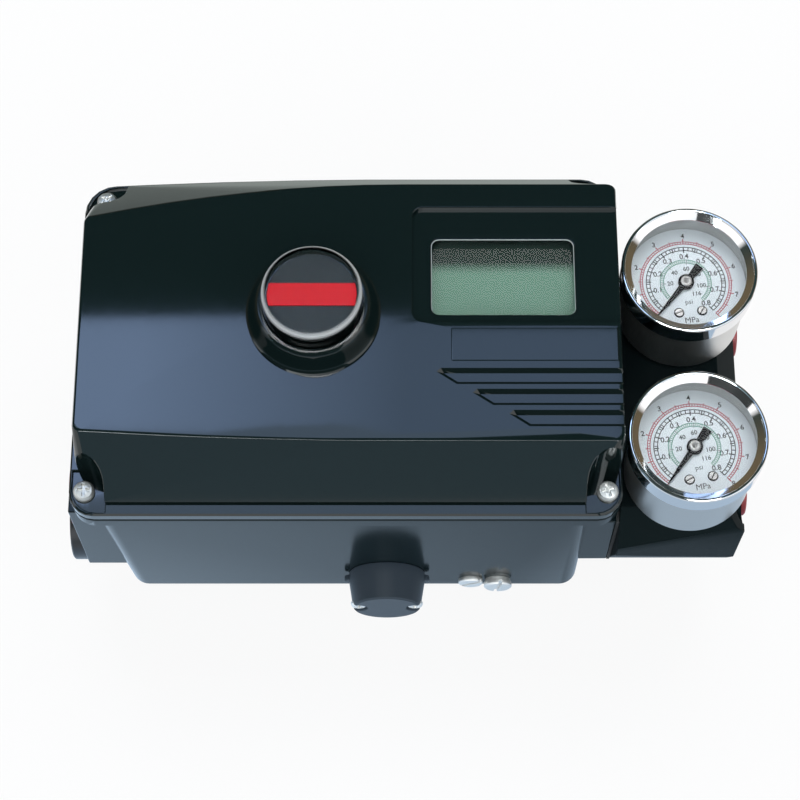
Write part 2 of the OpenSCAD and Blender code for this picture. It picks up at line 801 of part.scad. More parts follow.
// Torque motor, flapper and nozzle, on the rear wall beside the right wall
motor_in = 39;
motor_x = in_x1 - motor_in;
motor_w = 26;
motor_y = 14;
motor_d = 26;
motor_h = 28;
yoke_t = 6;
plate_t = 3;
coil_r = 6.4;
core_r = 2.4;
pivot_in = 4;
pivot_drop = 7;
pivot_lift = 12;
pivot_x = motor_x + pivot_in;
pivot_y = motor_y - pivot_drop;
pivot_r = 1.5;
pivot_z = rear_wall + pivot_lift;
flapper_len = 22;
flapper_h = 7;
flapper_t = 1;
nozzle_gap = 0.9;
nozzle_r = 2;
motor_foot = 11;
motor_hole_in = 4;
motor_hole_r = 1.6;
core_over = 2;
coil_short = 3;
pivot_wall = 1.6;
pivot_over = 2;
nozzle_half = 7;
nozzle_in = 3;
nozzle_stand = 5;
nozzle_depth = 11;
jet_r = 0.6;
jet_depth = 6;

module torque_motor() {
    color("#8d9092") {
        difference() {
            union() {
                bar(motor_x, motor_x + motor_w, motor_y - motor_foot, motor_y + motor_d, rear_wall,
                    rear_wall + plate_t);
                for (y = [motor_y, motor_y + motor_d - yoke_t])
                    bar(motor_x, motor_x + motor_w, y, y + yoke_t, rear_wall + plate_t,
                        rear_wall + motor_h);
            }
            for (x = [motor_x + motor_hole_in, motor_x + motor_w - motor_hole_in])
                translate([x, motor_y + motor_d / 2, 0]) rod(motor_hole_r, rear_wall - 1,
                    rear_wall + plate_t + 1);
        }
        translate([motor_x + motor_w / 2, motor_y + motor_d / 2, 0])
            rod(core_r, rear_wall + plate_t, rear_wall + motor_h + core_over);
        translate([pivot_x, pivot_y, 0]) {
            rod(pivot_r + pivot_wall, rear_wall + plate_t, pivot_z);
            rod(pivot_r, pivot_z, pivot_z + flapper_h + pivot_over);
        }
    }
}

module motor_coil() {
    color("#a4552a") translate([motor_x + motor_w / 2, motor_y + motor_d / 2, 0])
        tube(coil_r, core_r + slack, rear_wall + plate_t, rear_wall + motor_h - coil_short);
}

module flapper() {
    hub_r = pivot_r + pivot_wall;
    lift = 0.2;
    color(c_steel) translate([pivot_x, pivot_y, pivot_z + lift]) difference() {
        union() {
            rod(hub_r, 0, flapper_h);
            bar(pivot_r + 0.5, flapper_len, -flapper_t / 2, flapper_t / 2, 0, flapper_h);
        }
        rod(pivot_r + run, -1, flapper_h + 1);
    }
}

module nozzle_block() {
    nozzle_x = pivot_x + flapper_len - nozzle_in;
    tip_y = pivot_y - flapper_t / 2 - nozzle_gap;
    block_face = tip_y - nozzle_stand;
    color("#9fa3a5") difference() {
        union() {
            bar(nozzle_x - nozzle_half, nozzle_x + nozzle_half, block_face - nozzle_depth, block_face,
                rear_wall, pivot_z + flapper_h);
            translate([nozzle_x, block_face, pivot_z + flapper_h / 2]) rotate([-90, 0, 0])
                cylinder(r = nozzle_r, h = tip_y - block_face);
        }
        translate([nozzle_x, block_face - jet_depth, pivot_z + flapper_h / 2]) rotate([-90, 0, 0])
            cylinder(r = jet_r, h = jet_depth + nozzle_stand + 1);
    }
}

// Pilot valve: a body bored along X for a spool with two necks
pilot_in = 39;
pilot_up = 15;
pilot_x = in_x1 - pilot_in;
pilot_w = 36;
pilot_y = in_y0 + pilot_up;
pilot_d = 18;
pilot_h = 20;
spool_r = 3;
spool_len = 32;
pilot_port_r = 1.2;
spool_y = pilot_y + pilot_d / 2;
spool_z = rear_wall + pilot_h / 2;

module pilot_valve_body() {
    color("#a9adb0") difference() {
        bar(pilot_x, pilot_x + pilot_w, pilot_y, pilot_y + pilot_d, rear_wall, rear_wall + pilot_h);
        translate([pilot_x - 1, spool_y, spool_z]) rotate([0, 90, 0]) cylinder(r = spool_r + run,
            h = pilot_w + 2);
        for (i = [1:3]) translate([pilot_x + pilot_w * i / 4, spool_y, spool_z]) rod(pilot_port_r, 0,
            pilot_h);
    }
}

module pilot_spool() {
    neck_r = spool_r - 1;
    land = spool_len / 5;
    color(c_steel) translate([pilot_x + (pilot_w - spool_len) / 2, spool_y, spool_z]) rotate([0, 90, 0])
        turned([[0, 0], [spool_r, 0], [spool_r, land], [neck_r, land], [neck_r, 2 * land], [spool_r,
            2 * land],
            [spool_r, 3 * land], [neck_r, 3 * land], [neck_r, 4 * land], [spool_r, 4 * land], [spool_r,
                5 * land],
            [0, 5 * land]]);
}

// Main shaft, from the coupling end behind the rear face to the indicator
ring_gap = 0.3;
ring_z = rear_wall + bush_flange_t + ring_gap;
ring_t = 1;
ring_groove = 0.5;
gear_lift = 16;
stem_drop = 8;
gear_z = rear_wall + gear_lift;
stem_z = board_z - stem_drop;
disc_lift = 12;
disc_z = face_z + disc_lift;
disc_t = 1.6;
disc_hub_r = 6.5;
disc_hub_h = 3.6;

module main_shaft() {
    seat_r = shaft_r - 1;
    end_r = shaft_r - 0.5;
    end_chamfer = 0.8;
    shoulder_z = -1;
    color(c_steel) turned([[0, -shaft_out], [end_r - end_chamfer, -shaft_out], [end_r,
        -shaft_out + end_chamfer],
        [end_r, shoulder_z], [shaft_r, shoulder_z], [shaft_r, ring_z], [shaft_r - ring_groove, ring_z],
        [shaft_r - ring_groove, ring_z + ring_t + slack],
        [shaft_r, ring_z + ring_t + slack], [shaft_r, gear_z], [seat_r, gear_z], [seat_r, stem_z],
            [stem_r, stem_z],
        [stem_r, disc_z - slack], [0, disc_z - slack]]);
}

module shaft_bush() {
    color(c_brass) {
        tube(bush_r, shaft_r + run, seal_h + 1, rear_wall);
        tube(bush_r + 3, shaft_r + run, rear_wall, rear_wall + bush_flange_t);
    }
}

module shaft_seal() {
    color("#101112") tube(bush_r, shaft_r + 2 * run, seal_h - 2.4, seal_h + 1);
}

module retaining_ring() {
    color(c_steel) tube(shaft_r + 2.4, shaft_r - ring_groove + run, ring_z, ring_z + ring_t);
}

// Involute gear outline with one tooth centred on the X axis
pressure_angle = 20;
gear_backlash = 0.2;
flank_steps = 4;
function involute(a) = tan(a) - a * PI / 180;
function flank_angle(pitch, base, r) = (90 / PI) * (PI * gear_module / 2 - gear_backlash) / pitch
    + (involute(pressure_angle) - involute(acos(min(1, base / r)))) * 180 / PI;
function polar(r, a) = [r * cos(a), r * sin(a)];
function gear_points(teeth) =
    let(pitch = gear_module * teeth / 2, base = pitch * cos(pressure_angle),
        root = pitch - 1.25 * gear_module,
        tip = pitch + 0.95 * gear_module, start = max(root, base),
        radii = [for (k = [0:flank_steps]) start + (tip - start) * k / flank_steps])
    [for (i = [0:teeth - 1]) let(c = 360 * i / teeth) each concat(
        [polar(root, c - flank_angle(pitch, base, start))],
        [for (r = radii) polar(r, c - flank_angle(pitch, base, r))],
        [for (k = [flank_steps:-1:0]) polar(radii[k], c + flank_angle(pitch, base, radii[k]))],
        [polar(root, c + flank_angle(pitch, base, start))])];

gear_distance = gear_module * (gear_teeth + pot_teeth) / 2;
gear_hub_h = 4;
spindle_r = 3;

module toothed_wheel(teeth, bore_r, hub_r) {
    difference() {
        union() {
            translate([0, 0, gear_z]) linear_extrude(gear_face) polygon(gear_points(teeth));
            rod(hub_r, gear_z, gear_z + gear_face + gear_hub_h);
        }
        rod(bore_r, gear_z - 1, gear_z + gear_face + gear_hub_h + 1);
    }
}

module shaft_gear() {
    web_holes = 6;
    color(c_brass) difference() {
        rotate(90) toothed_wheel(gear_teeth, shaft_r - 1 + run, shaft_r + 3);
        for (i = [0:web_holes - 1]) rotate(i * 360 / web_holes + 30)
            translate([gear_module * gear_teeth * 0.33, 0, 0]) rod(3, gear_z - 1, gear_z + gear_face + 1);
    }
}

module pot_gear() {
    color(c_brass) translate([0, gear_distance, 0]) rotate(270 + 180 / pot_teeth)
        toothed_wheel(pot_teeth, spindle_r + run, spindle_r + 2.5);
}

pot_z = rear_wall + 2;
pot_top = gear_z - 2;

module potentiometer() {
    color(c_dark) translate([0, gear_distance, 0]) difference() {
        union() {
            rod(pot_r, pot_z, pot_top);
            rod(spindle_r + 1.6, pot_top, gear_z - 0.5);
        }
        rod(spindle_r + run, pot_z + 2, gear_z + 1);
    }
}

module pot_bracket() {
    color(c_steel) translate([0, gear_distance, 0]) {
        slab(-pot_r - 4, pot_r + 4, -pot_r - 2, pot_r + 2, 2, rear_wall, pot_z);
        tube(pot_r + 2, pot_r + slack, pot_z, pot_z + 4);
    }
}

module pot_spindle() {
    color(c_steel) translate([0, gear_distance, 0]) rod(spindle_r, pot_z + 2.5,
        gear_z + gear_face + gear_hub_h + 1);
}

module indicator_disc() {
    color("#1b1d1e") difference() {
        union() {
            rod(disc_r, disc_z, disc_z + disc_t);
            rod(disc_hub_r, disc_z - disc_hub_h, disc_z);
        }
        rod(stem_r + run, disc_z - disc_hub_h - 1, disc_z);
    }
}

module indicator_bar() {
    bar_t = 0.6;
    color(c_red) translate([0, 0, disc_z + disc_t]) linear_extrude(bar_t) intersection() {
        circle(disc_r);
        translate([-disc_r, -bar_w / 2]) square([2 * disc_r, bar_w]);
    }
}

// Gauge block: drilled from the right face to the gauges and through to the base
socket_r = 5;
socket_depth = 12;
screw_head_r = 4.2;
screw_head_h = 5;
head_sink = 5;
selector_r = 4;
selector_x = block_x0 + 13;
selector_z = block_rear + 23.5;
selector_depth = 14;

block_bank = 9;
block_bank_z = block_front - 16;
block_heel_z = block_front - 23;
block_crest = 10;
block_crest_z = block_front - 21;
block_shoulder = 8;
block_shoulder_z = block_front - 13;
block_lift = 5;

// Side profile with sloping upper and lower fronts, cut back at the right
module block_outside() {
    difference() {
        translate([block_x0, 0, 0]) rotate([90, 0, 90]) linear_extrude(block_w)
            polygon([[block_y0 + block_bank, block_front], [block_y1 - block_crest, block_front],
                [block_y1, block_crest_z], [block_y1, block_rear + 12], [block_y1 - 5, block_rear],
                [block_y0 + block_bank, block_rear], [block_y0, block_heel_z], [block_y0, block_bank_z]]);
        // Shoulder along the right face
        translate([0, block_y1 + 1, 0]) rotate([90, 0, 0]) linear_extrude(block_y1 - block_y0 + 2)
            polygon([[block_x1 - block_shoulder, block_front + eps], [block_x1 + eps, block_shoulder_z],
                [block_x1 + 1, block_front + 1]]);
        // Lower side rises to the right
        plate([[block_x0, block_y0 - eps], [block_x1 + 1, block_y0 + block_lift], [block_x1 + 1,
            block_y0 - 1],
            [block_x0, block_y0 - 1]], block_rear - 1, block_front + 1);
    }
}

module along_x(x, y, z) {
    translate([x, y, z]) rotate([0, 90, 0]) children();
}

module gauge_block() {
    color("#14181a") difference() {
        block_outside();
        for (y = [gauge_up, gauge_low]) translate([gauge_x, y, 0]) {
            rod(socket_r, block_front - socket_depth, block_front + 1);
            rod(air_r, port_z, block_front - socket_depth + 1);
        }
        for (y = air_y) {
            along_x(block_x0 - 1, y, port_z) cylinder(r = air_r, h = block_w - port_depth + 2);
            along_x(block_x1 - port_depth, y, port_z) cylinder(r = port_r, h = port_depth + 1);
        }
        for (s = block_screw_at) {
            along_x(block_x0 - 1, s[0], s[1]) cylinder(r = block_screw_r + screw_hole_gap, h = block_w + 2);
            along_x(block_x1 - screw_head_h - head_sink, s[0], s[1])
                cylinder(r = screw_head_r + screw_hole_gap, h = screw_head_h + head_sink + 1);
        }
        translate([selector_x, block_y1 - selector_depth, selector_z]) rotate([-90, 0, 0])
            cylinder(r = selector_r + run, h = selector_depth + 1);
    }
}

module block_gasket() {
    color("#101112") difference() {
        bar(rim_x1, block_x0, pad_y0, pad_y1, pad_z0, pad_z1);
        for (y = air_y) along_x(rim_x1 - 1, y, port_z) cylinder(r = air_r, h = block_gasket_t + 2);
        for (s = block_screw_at) along_x(rim_x1 - 1, s[0], s[1])
            cylinder(r = block_screw_r + screw_hole_gap, h = block_gasket_t + 2);
    }
}

module block_screws() {
    seat_x = block_x1 - screw_head_h - head_sink;
    key_r = 2.4;
    tip = rim_x1 - block_screw_bite - seat_x + 0.5;
    color("#3a3c3e") for (s = block_screw_at) along_x(seat_x, s[0], s[1]) difference() {
        turned([[0, tip], [block_screw_r, tip],
            [block_screw_r, 0], [screw_head_r, 0], [screw_head_r, screw_head_h], [0, screw_head_h]]);
        translate([0, 0, screw_head_h - 3]) cylinder(r = key_r, h = 4, $fn = 6);
    }
}

module port_plugs() {
    plug_len = port_depth - 5;
    head_t = 1.8;
    color(c_red) for (y = [gauge_up, gauge_low]) along_x(block_x1, y, port_z)
        turned([[0, -plug_len], [port_r - slack, -plug_len], [port_r - slack, 0], [port_r + 1.6, 0],
            [port_r + 1.6, head_t - 0.5], [port_r + 1.1, head_t], [0, head_t]]);
}

module auto_manual_screw() {
    head_t = 2;
    lift = 0.3;
    color(c_steel) translate([selector_x, block_y1, selector_z]) rotate([-90, 0, 0]) difference() {
        turned([[0, -selector_depth + 1], [selector_r, -selector_depth + 1], [selector_r, lift],
            [selector_r + 1.6, lift],
            [selector_r + 1.6, lift + head_t - 0.4], [selector_r + 1.2, lift + head_t], [0,
                lift + head_t]]);
        translate([-selector_r - 2, -0.6, lift + head_t - 1.1]) cube([2 * selector_r + 4, 1.2, 3]);
    }
}

// Vent cap: hollow, screwed to the lower wall through two notches in its end
vent_screw_in = 9.6;
vent_screw_r = 1.4;
vent_screw_bite = base_wall - 1.2;
notch_r = 3;
notch_depth = 2.2;
vent_hollow_r = 7.6;
vent_tip_r = vent_r - 1.4;
ear_r = 2.2;
ear_len = 2;
ear_up = 1;
ear_in = 0.6;
breather_w = 5;
breather_h = 1.6;

module on_lower_wall(x, z) {
    translate([x, wall_y0, z]) rotate([90, 0, 0]) children();
}

module vent_cap() {
    edge = 0.6;
    color("#1c2021") on_lower_wall(vent_x, vent_z) difference() {
        union() {
            turned([[0, 0], [vent_r, 0], [vent_r, ear_up + ear_len], [vent_tip_r, vent_len - edge],
                [vent_tip_r - edge, vent_len],
                [0, vent_len]]);
            for (x = [-1, 1]) translate([x * (vent_r - ear_in), 0, 0]) rod(ear_r, ear_up, ear_up + ear_len);
        }
        rod(vent_hollow_r, -1, vent_len - 2.4);
        for (x = [-vent_screw_in, vent_screw_in]) translate([x, 0, 0]) {
            rod(notch_r, vent_len - notch_depth, vent_len + 1);
            rod(vent_screw_r + slack, -1, vent_len);
        }
        // Breathing slot at the wall, on the rear side
        translate([-breather_w / 2, -vent_r - 1, -1]) cube([breather_w, vent_r + 1, breather_h + 1]);
    }
}

module vent_screws() {
    color(c_steel) on_lower_wall(vent_x, vent_z) for (x = [-vent_screw_in, vent_screw_in])
        translate([x, 0, vent_len - notch_depth]) rotate(x)
            pan_screw(notch_r - 0.3, 1.8, vent_screw_r, vent_len - notch_depth + vent_screw_bite);
}

module ground_screws() {
    color(c_steel) {
        on_lower_wall(ground_x[0], ground_z) rotate(35) slot_screw(4.2, 1.7, ground_r, ground_bite - 1);
        on_lower_wall(ground_x[1], ground_z) {
            tube(4.4, ground_r + slack, 0, 1);
            translate([0, 0, 1]) rotate(80) slot_screw(4.8, 2, ground_r, ground_bite);
        }
    }
}

// Plugs of the two conduit entries: a shipping cap in front and a steel plug behind it
plug_len = 11;
plug_edge = 0.5;
module entry_plug(z, head_r, head_t) {
    translate([conduit_x, entry_y, z]) rotate([0, -90, 0])
        turned([[0, -plug_len], [conduit_r, -plug_len], [conduit_r, 0], [head_r, 0], [head_r,
            head_t - plug_edge],
            [head_r - plug_edge, head_t], [0, head_t]]);
}

module conduit_plug() {
    color(c_red) entry_plug(entry_high_z, conduit_r + 1.4, 1.6);
}

module blanking_plug() {
    key_r = 4;
    color(c_dark) difference() {
        entry_plug(entry_low_z, conduit_r + 4, 4.8);
        translate([conduit_x - 6, entry_y, entry_low_z]) rotate([0, 90, 0]) cylinder(r = key_r, h = 5,
            $fn = 6);
    }
}

// Pressure gauges: heights are from the block's front face
gauge_lens_t = 1.4;
lens_sink = 2.2;
gauge_case_h = gauge_len - gauge_lens_t - lens_sink;
dial_sink = 8;
dial_z = gauge_case_h - dial_sink;
dial_t = 0.6;
case_wall = 0.9;
dial_ledge = 2;
socket_clear = 0.1;
pointer_z = dial_z + dial_t + 0.5;
pointer_t = 0.7;
pin_r = 0.8;
pin_bore = 8;
movement_top = dial_z - 1;
zero_angle = 225;

module on_gauge(upper) {
    translate([gauge_x, upper ? gauge_up : gauge_low, block_front])
        rotate(upper ? upper_turn : lower_turn) children();
}

module gauge_case() {
    hole_r = socket_r + 0.2;
    back_t = 1.2;
    color("#b9bcbd") turned([[hole_r, 0], [case_r - 1, 0], [case_r, 1], [case_r, gauge_case_h],
        [case_r - case_wall, gauge_case_h], [case_r - case_wall, dial_z], [case_r - dial_ledge, dial_z],
        [case_r - dial_ledge, back_t], [hole_r, back_t]]);
}

// Crimped ring whose inner side is dished down to the lens
module gauge_bezel() {
    bezel_skirt = 4.6;
    skirt_z = gauge_case_h - bezel_skirt;
    lens_top = gauge_case_h + gauge_lens_t;
    lip_r = case_r - dial_ledge;
    crown = 0.7;
    round_edge = [for (i = [0:10]) [bezel_r - crown + crown * cos(15 * i),
        gauge_len - crown + crown * sin(15 * i)]];
    color("#d5d7d8") turned(concat([[case_r + slack, skirt_z], [bezel_r - 0.3, skirt_z], [bezel_r,
        skirt_z + 0.4]],
        round_edge, [[lip_r, lens_top + 0.3], [lip_r, lens_top], [case_r + slack, lens_top]]));
}

module gauge_lens() {
    color(c_glass, 0.3) rod(case_r - slack, gauge_case_h, gauge_case_h + gauge_lens_t);
}

module gauge_dial() {
    color("white") difference() {
        rod(case_r - case_wall - slack, dial_z, dial_z + dial_t);
        rod(2 * pin_r, dial_z - 1, dial_z + dial_t + 1);
    }
}

// Tapered hand with a broad tail, on a spindle that turns in the movement
module gauge_pointer() {
    tail = 7.4;
    hub_r = 2.6;
    color("#15171a") rotate(zero_angle) {
        translate([0, 0, pointer_z]) linear_extrude(pointer_t)
            polygon([[-tail, -1.5], [-tail, 1.5], [-hub_r, 1], [0, 1.15], [pointer_len, 0.15],
                [pointer_len, -0.15],
                [0, -1.15], [-hub_r, -1]]);
        turned([[0, movement_top - pin_bore + 0.5], [pin_r, movement_top - pin_bore + 0.5], [pin_r,
            pointer_z - 0.2],
            [hub_r, pointer_z - 0.2], [hub_r, pointer_z + pointer_t + 0.2], [hub_r - 0.4,
                pointer_z + pointer_t + 0.5],
            [0, pointer_z + pointer_t + 0.5]]);
    }
}

// Socket, tube and pivot of the gauge
module gauge_movement() {
    tube_r = 1.3;
    coil_radius = case_r - dial_ledge - tube_r - 1.6;
    stem_half = 5;
    stem_top = 12;
    tube_z = 9;
    color(c_brass) difference() {
        union() {
            rod(socket_r - socket_clear, 1 - socket_depth, 2);
            bar(-stem_half, stem_half, -stem_half, stem_half, 1.2, stem_top);
            rod(3, stem_top - 1, movement_top);
            bar(-1.6, 1.6, -coil_radius - 0.4, -stem_half + 1, tube_z - 1.6, tube_z + 1.6);
            translate([0, 0, tube_z]) rotate(-90) rotate_extrude(angle = 255)
                translate([coil_radius, 0]) circle(tube_r, $fn = 24);
        }
        rod(pin_r + run, movement_top - pin_bore, movement_top + 1);
        rod(1.2, -socket_depth, tube_z);
    }
}

module upper_gauge_case() { on_gauge(true) gauge_case(); }
module upper_gauge_bezel() { on_gauge(true) gauge_bezel(); }
module upper_gauge_lens() { on_gauge(true) gauge_lens(); }
module upper_gauge_dial() { on_gauge(true) gauge_dial(); }
module upper_gauge_pointer() { on_gauge(true) gauge_pointer(); }
module upper_gauge_movement() { on_gauge(true) gauge_movement(); }
module lower_gauge_case() { on_gauge(false) gauge_case(); }
module lower_gauge_bezel() { on_gauge(false) gauge_bezel(); }
module lower_gauge_lens() { on_gauge(false) gauge_lens(); }
module lower_gauge_dial() { on_gauge(false) gauge_dial(); }
module lower_gauge_pointer() { on_gauge(false) gauge_pointer(); }
module lower_gauge_movement() { on_gauge(false) gauge_movement(); }

base_housing();
front_cover();
cover_gasket();
cover_screws();
indicator_dome();
dome_seal();
lcd_window();
lcd_panel();
display_board();
display_screws();
button_switches();
enter_button();
up_button();
down_button();
escape_button();
main_board();
board_screws();
terminal_block();
terminal_screws();
torque_motor();
motor_coil();
flapper();
nozzle_block();
pilot_valve_body();
pilot_spool();
main_shaft();
shaft_gear();
shaft_bush();
shaft_seal();
retaining_ring();
indicator_disc();
indicator_bar();
potentiometer();
pot_bracket();
pot_spindle();
pot_gear();
gauge_block();
block_gasket();
block_screws();
port_plugs();
auto_manual_screw();
vent_cap();
vent_screws();
ground_screws();
conduit_plug();
blanking_plug();
upper_gauge_case();
upper_gauge_bezel();
upper_gauge_lens();
upper_gauge_dial();
upper_gauge_pointer();
upper_gauge_movement();
lower_gauge_case();
lower_gauge_bezel();
lower_gauge_lens();
lower_gauge_dial();
lower_gauge_pointer();
lower_gauge_movement();
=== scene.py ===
# %% [markdown]
# # A valve positioner, dressed for its portrait
#
# The part is a rotary valve positioner: a black housing with a clear travel indicator and a small
# display, and a side block that carries two pressure gauges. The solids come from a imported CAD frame.
# This lesson keeps every piece where the frame has it and gives each one its edges, its finish and its
# print.

# %% Load the frame
import json
import math

import bmesh
import bpy
from mathutils import Matrix, Vector


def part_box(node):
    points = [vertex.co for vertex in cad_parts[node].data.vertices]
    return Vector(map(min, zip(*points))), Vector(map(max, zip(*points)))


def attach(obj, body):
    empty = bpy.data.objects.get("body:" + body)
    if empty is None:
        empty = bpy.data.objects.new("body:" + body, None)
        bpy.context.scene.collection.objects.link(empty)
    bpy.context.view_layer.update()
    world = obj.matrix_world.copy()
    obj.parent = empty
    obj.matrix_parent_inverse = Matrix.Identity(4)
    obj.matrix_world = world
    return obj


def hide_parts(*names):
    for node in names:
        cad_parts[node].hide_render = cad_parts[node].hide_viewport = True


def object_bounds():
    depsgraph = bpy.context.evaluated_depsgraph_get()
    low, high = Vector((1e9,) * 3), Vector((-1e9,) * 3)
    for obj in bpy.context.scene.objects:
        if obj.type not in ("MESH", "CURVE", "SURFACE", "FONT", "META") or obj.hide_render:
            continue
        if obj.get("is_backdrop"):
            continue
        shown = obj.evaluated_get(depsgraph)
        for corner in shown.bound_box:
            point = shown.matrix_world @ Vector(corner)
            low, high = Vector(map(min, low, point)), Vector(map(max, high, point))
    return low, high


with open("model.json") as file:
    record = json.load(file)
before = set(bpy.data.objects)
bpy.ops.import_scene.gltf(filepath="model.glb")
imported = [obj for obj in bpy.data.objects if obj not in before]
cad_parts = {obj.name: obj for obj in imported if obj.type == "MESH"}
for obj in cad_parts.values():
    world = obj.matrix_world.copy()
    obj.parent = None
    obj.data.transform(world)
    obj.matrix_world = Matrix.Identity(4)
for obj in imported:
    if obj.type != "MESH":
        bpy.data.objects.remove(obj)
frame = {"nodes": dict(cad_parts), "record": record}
cad_low, cad_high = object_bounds()
record = frame["record"]
mm = 0.001
print("CAD box in mm:", [round(v / mm, 1) for v in (*cad_low, *cad_high)])

# %% [markdown]
# ## Who owns what
#
# Each node of the frame belongs to a body, which moves as one, and to a material slot. The record holds
# both tables. Two small lookups turn them round, so that a new piece can ride on the right body and take
# the right slot by naming the node it stands for.

# %% Look up bodies and slots
body_of = {node: body for body, nodes in record["behaviour"]["bodies"].items() for node in nodes}
slot_of = {part["node"]: part["material_slot"] for part in record["subparts"]}


def seat(piece, node):
    """Put a finished piece in the place of a node."""
    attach(piece, body_of[node])
    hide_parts(node)


def add_trim(piece, node):
    """Let a finished piece ride along with a node that stays visible."""
    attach(piece, body_of[node])


# %% [markdown]
# ## The camera
#
# The photograph looks at the cover from the vent side, about 22 degrees off the cover's normal, through a
# long lens. The picture was stretched upwards when it was saved, which the oval gauges show, so the camera
# here keeps the object's true proportions and matches the picture's width and place.

# %% Aim the camera
CAMERA_TILT = math.radians(22)
CAMERA_DISTANCE = 0.69
SENSOR_WIDTH = 36
LENS_LENGTH = 99.4
AIM_RIGHT = 27.5 * mm
AIM_DOWN = 29.8 * mm
DOME_RISE = 18 * mm
dome_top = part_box("indicator_dome")[1].z
FACE_HEIGHT = dome_top - DOME_RISE
aim = Vector((AIM_RIGHT, -AIM_DOWN, FACE_HEIGHT))
camera_data = bpy.data.cameras.new("portrait_camera")
camera_data.sensor_width = SENSOR_WIDTH
camera_data.lens = LENS_LENGTH
camera = bpy.data.objects.new("portrait_camera", camera_data)
camera.location = aim + CAMERA_DISTANCE * Vector((0, -math.sin(CAMERA_TILT), math.cos(CAMERA_TILT)))
camera.rotation_euler = (CAMERA_TILT, 0, 0)
scene = bpy.context.scene
scene.collection.objects.link(camera)
scene.camera = camera
print("camera at", [round(v, 3) for v in camera.location])

# %% [markdown]
# ## Nodes without fuss
#
# A procedural finish is a handful of shader nodes. Typing each link by hand hides what the finish does, so
# one helper makes a material with its main shader, and another adds a node with its inputs in one line.
# Numbers that are the same all over the surface go straight on the shader's sockets.

# %% Materials and nodes
def new_finish(name, color, roughness, metallic=0.0, **sockets):
    """A material with one Principled shader; sockets names further inputs, with _ for a space."""
    material = bpy.data.materials.new(name)
    material.use_nodes = True
    shader = material.node_tree.nodes["Principled BSDF"]
    shader.inputs["Base Color"].default_value = (*color, 1)
    shader.inputs["Roughness"].default_value = roughness
    shader.inputs["Metallic"].default_value = metallic
    for socket, value in sockets.items():
        shader.inputs[socket.replace("_", " ")].default_value = value
    return material, shader


def add_node(material, kind, inputs=None, **settings):
    """Add a shader node, set its attributes, and feed its inputs with values or other nodes' outputs."""
    tree = material.node_tree
    node = tree.nodes.new(kind)
    for attribute, value in settings.items():
        setattr(node, attribute, value)
    for key, value in (inputs or {}).items():
        if isinstance(value, bpy.types.NodeSocket):
            tree.links.new(value, node.inputs[key])
        else:
            node.inputs[key].default_value = value
    return node


print("material helpers ready")

# %% [markdown]
# ## Patterns
#
# Paint, moulded plastic and worked metal are all uneven in some way. The same short chains of nodes come
# back in every finish: noise, a range of numbers, a mix of two colours, and a height that drives bump and
# roughness together. Patterns are read from object coordinates, so that they stay put when a piece moves.

# %% Noise, bump and tint
def object_coordinates(material):
    """The point on a piece, in metres, for a pattern to read."""
    return add_node(material, "ShaderNodeTexCoord").outputs["Object"]


def noise(material, scale, detail=3.0, stretch=None):
    """Noise on object coordinates, in cells per metre, stretched along an axis if asked."""
    place = object_coordinates(material)
    if stretch:
        stretched = add_node(material, "ShaderNodeMapping", {"Vector": place, "Scale": stretch})
        place = stretched.outputs["Vector"]
    cells = add_node(material, "ShaderNodeTexNoise", {"Vector": place, "Scale": scale, "Detail": detail})
    return cells.outputs["Fac"]


def spread(material, factor, low, high):
    """Map a 0 to 1 factor on to a range of numbers."""
    node = add_node(material, "ShaderNodeMapRange", {"Value": factor, "To Min": low, "To Max": high})
    return node.outputs["Result"]


def blend_colors(material, factor, first, second):
    """Mix two colours by a factor."""
    node = add_node(material, "ShaderNodeMix", {"Factor": factor}, data_type="RGBA")
    node.inputs["A"].default_value = (*first, 1)
    node.inputs["B"].default_value = (*second, 1)
    return node.outputs["Result"]


def roughen(material, shader, height, depth, low, high):
    """Drive bump and roughness of a finish from one height field."""
    bump = add_node(material, "ShaderNodeBump", {"Height": height, "Strength": 1.0, "Distance": depth})
    material.node_tree.links.new(bump.outputs["Normal"], shader.inputs["Normal"])
    material.node_tree.links.new(spread(material, height, low, high), shader.inputs["Roughness"])


def tint(material, shader, factor, first, second):
    """Drive the colour of a finish from one factor."""
    material.node_tree.links.new(blend_colors(material, factor, first, second), shader.inputs["Base Color"])


print("pattern helpers ready")

# %% [markdown]
# ## The room
#
# The cover is a glossy black shell, so the picture is mostly what the shell mirrors. A panorama could be
# wrapped round the object, but a few soft bands of colour are easier to steer. The front half of this room
# is a white wall, which shows in the bezels' upper cones and on the dome. The back half is dim and
# brownish, and turns into a dark ceiling.

# %% Bands of colour in the room
ROOM_BACK = (0.16, 0.125, 0.075)
ROOM_CEILING = (0.025, 0.05, 0.05)
ROOM_FRONT = (1.5, 1.5, 1.5)
ROOM_FRONT_LOW = (0.36, 0.5, 0.6)
# Where each band starts and where it is full, as a part of a direction of length 1.
FRONT_TURN = (-0.02, -0.14)
WALL_FOOT = (0.12, 0.2)
WALL_HEAD = (0.82, 0.66)
CEILING_RISE = (0.3, 0.6)

scene.view_settings.view_transform = "Standard"
world = bpy.data.worlds.new("studio")
world.use_nodes = True
scene.world = world


def ramp(material, value, start, end):
    """Rise from 0 to 1 as a value goes from start to end."""
    node = add_node(material, "ShaderNodeMapRange", {"Value": value, "From Min": start, "From Max": end})
    return node.outputs["Result"]


def product(material, first, second):
    """Multiply two factors."""
    node = add_node(material, "ShaderNodeMath", {0: first, 1: second}, operation="MULTIPLY")
    return node.outputs["Value"]


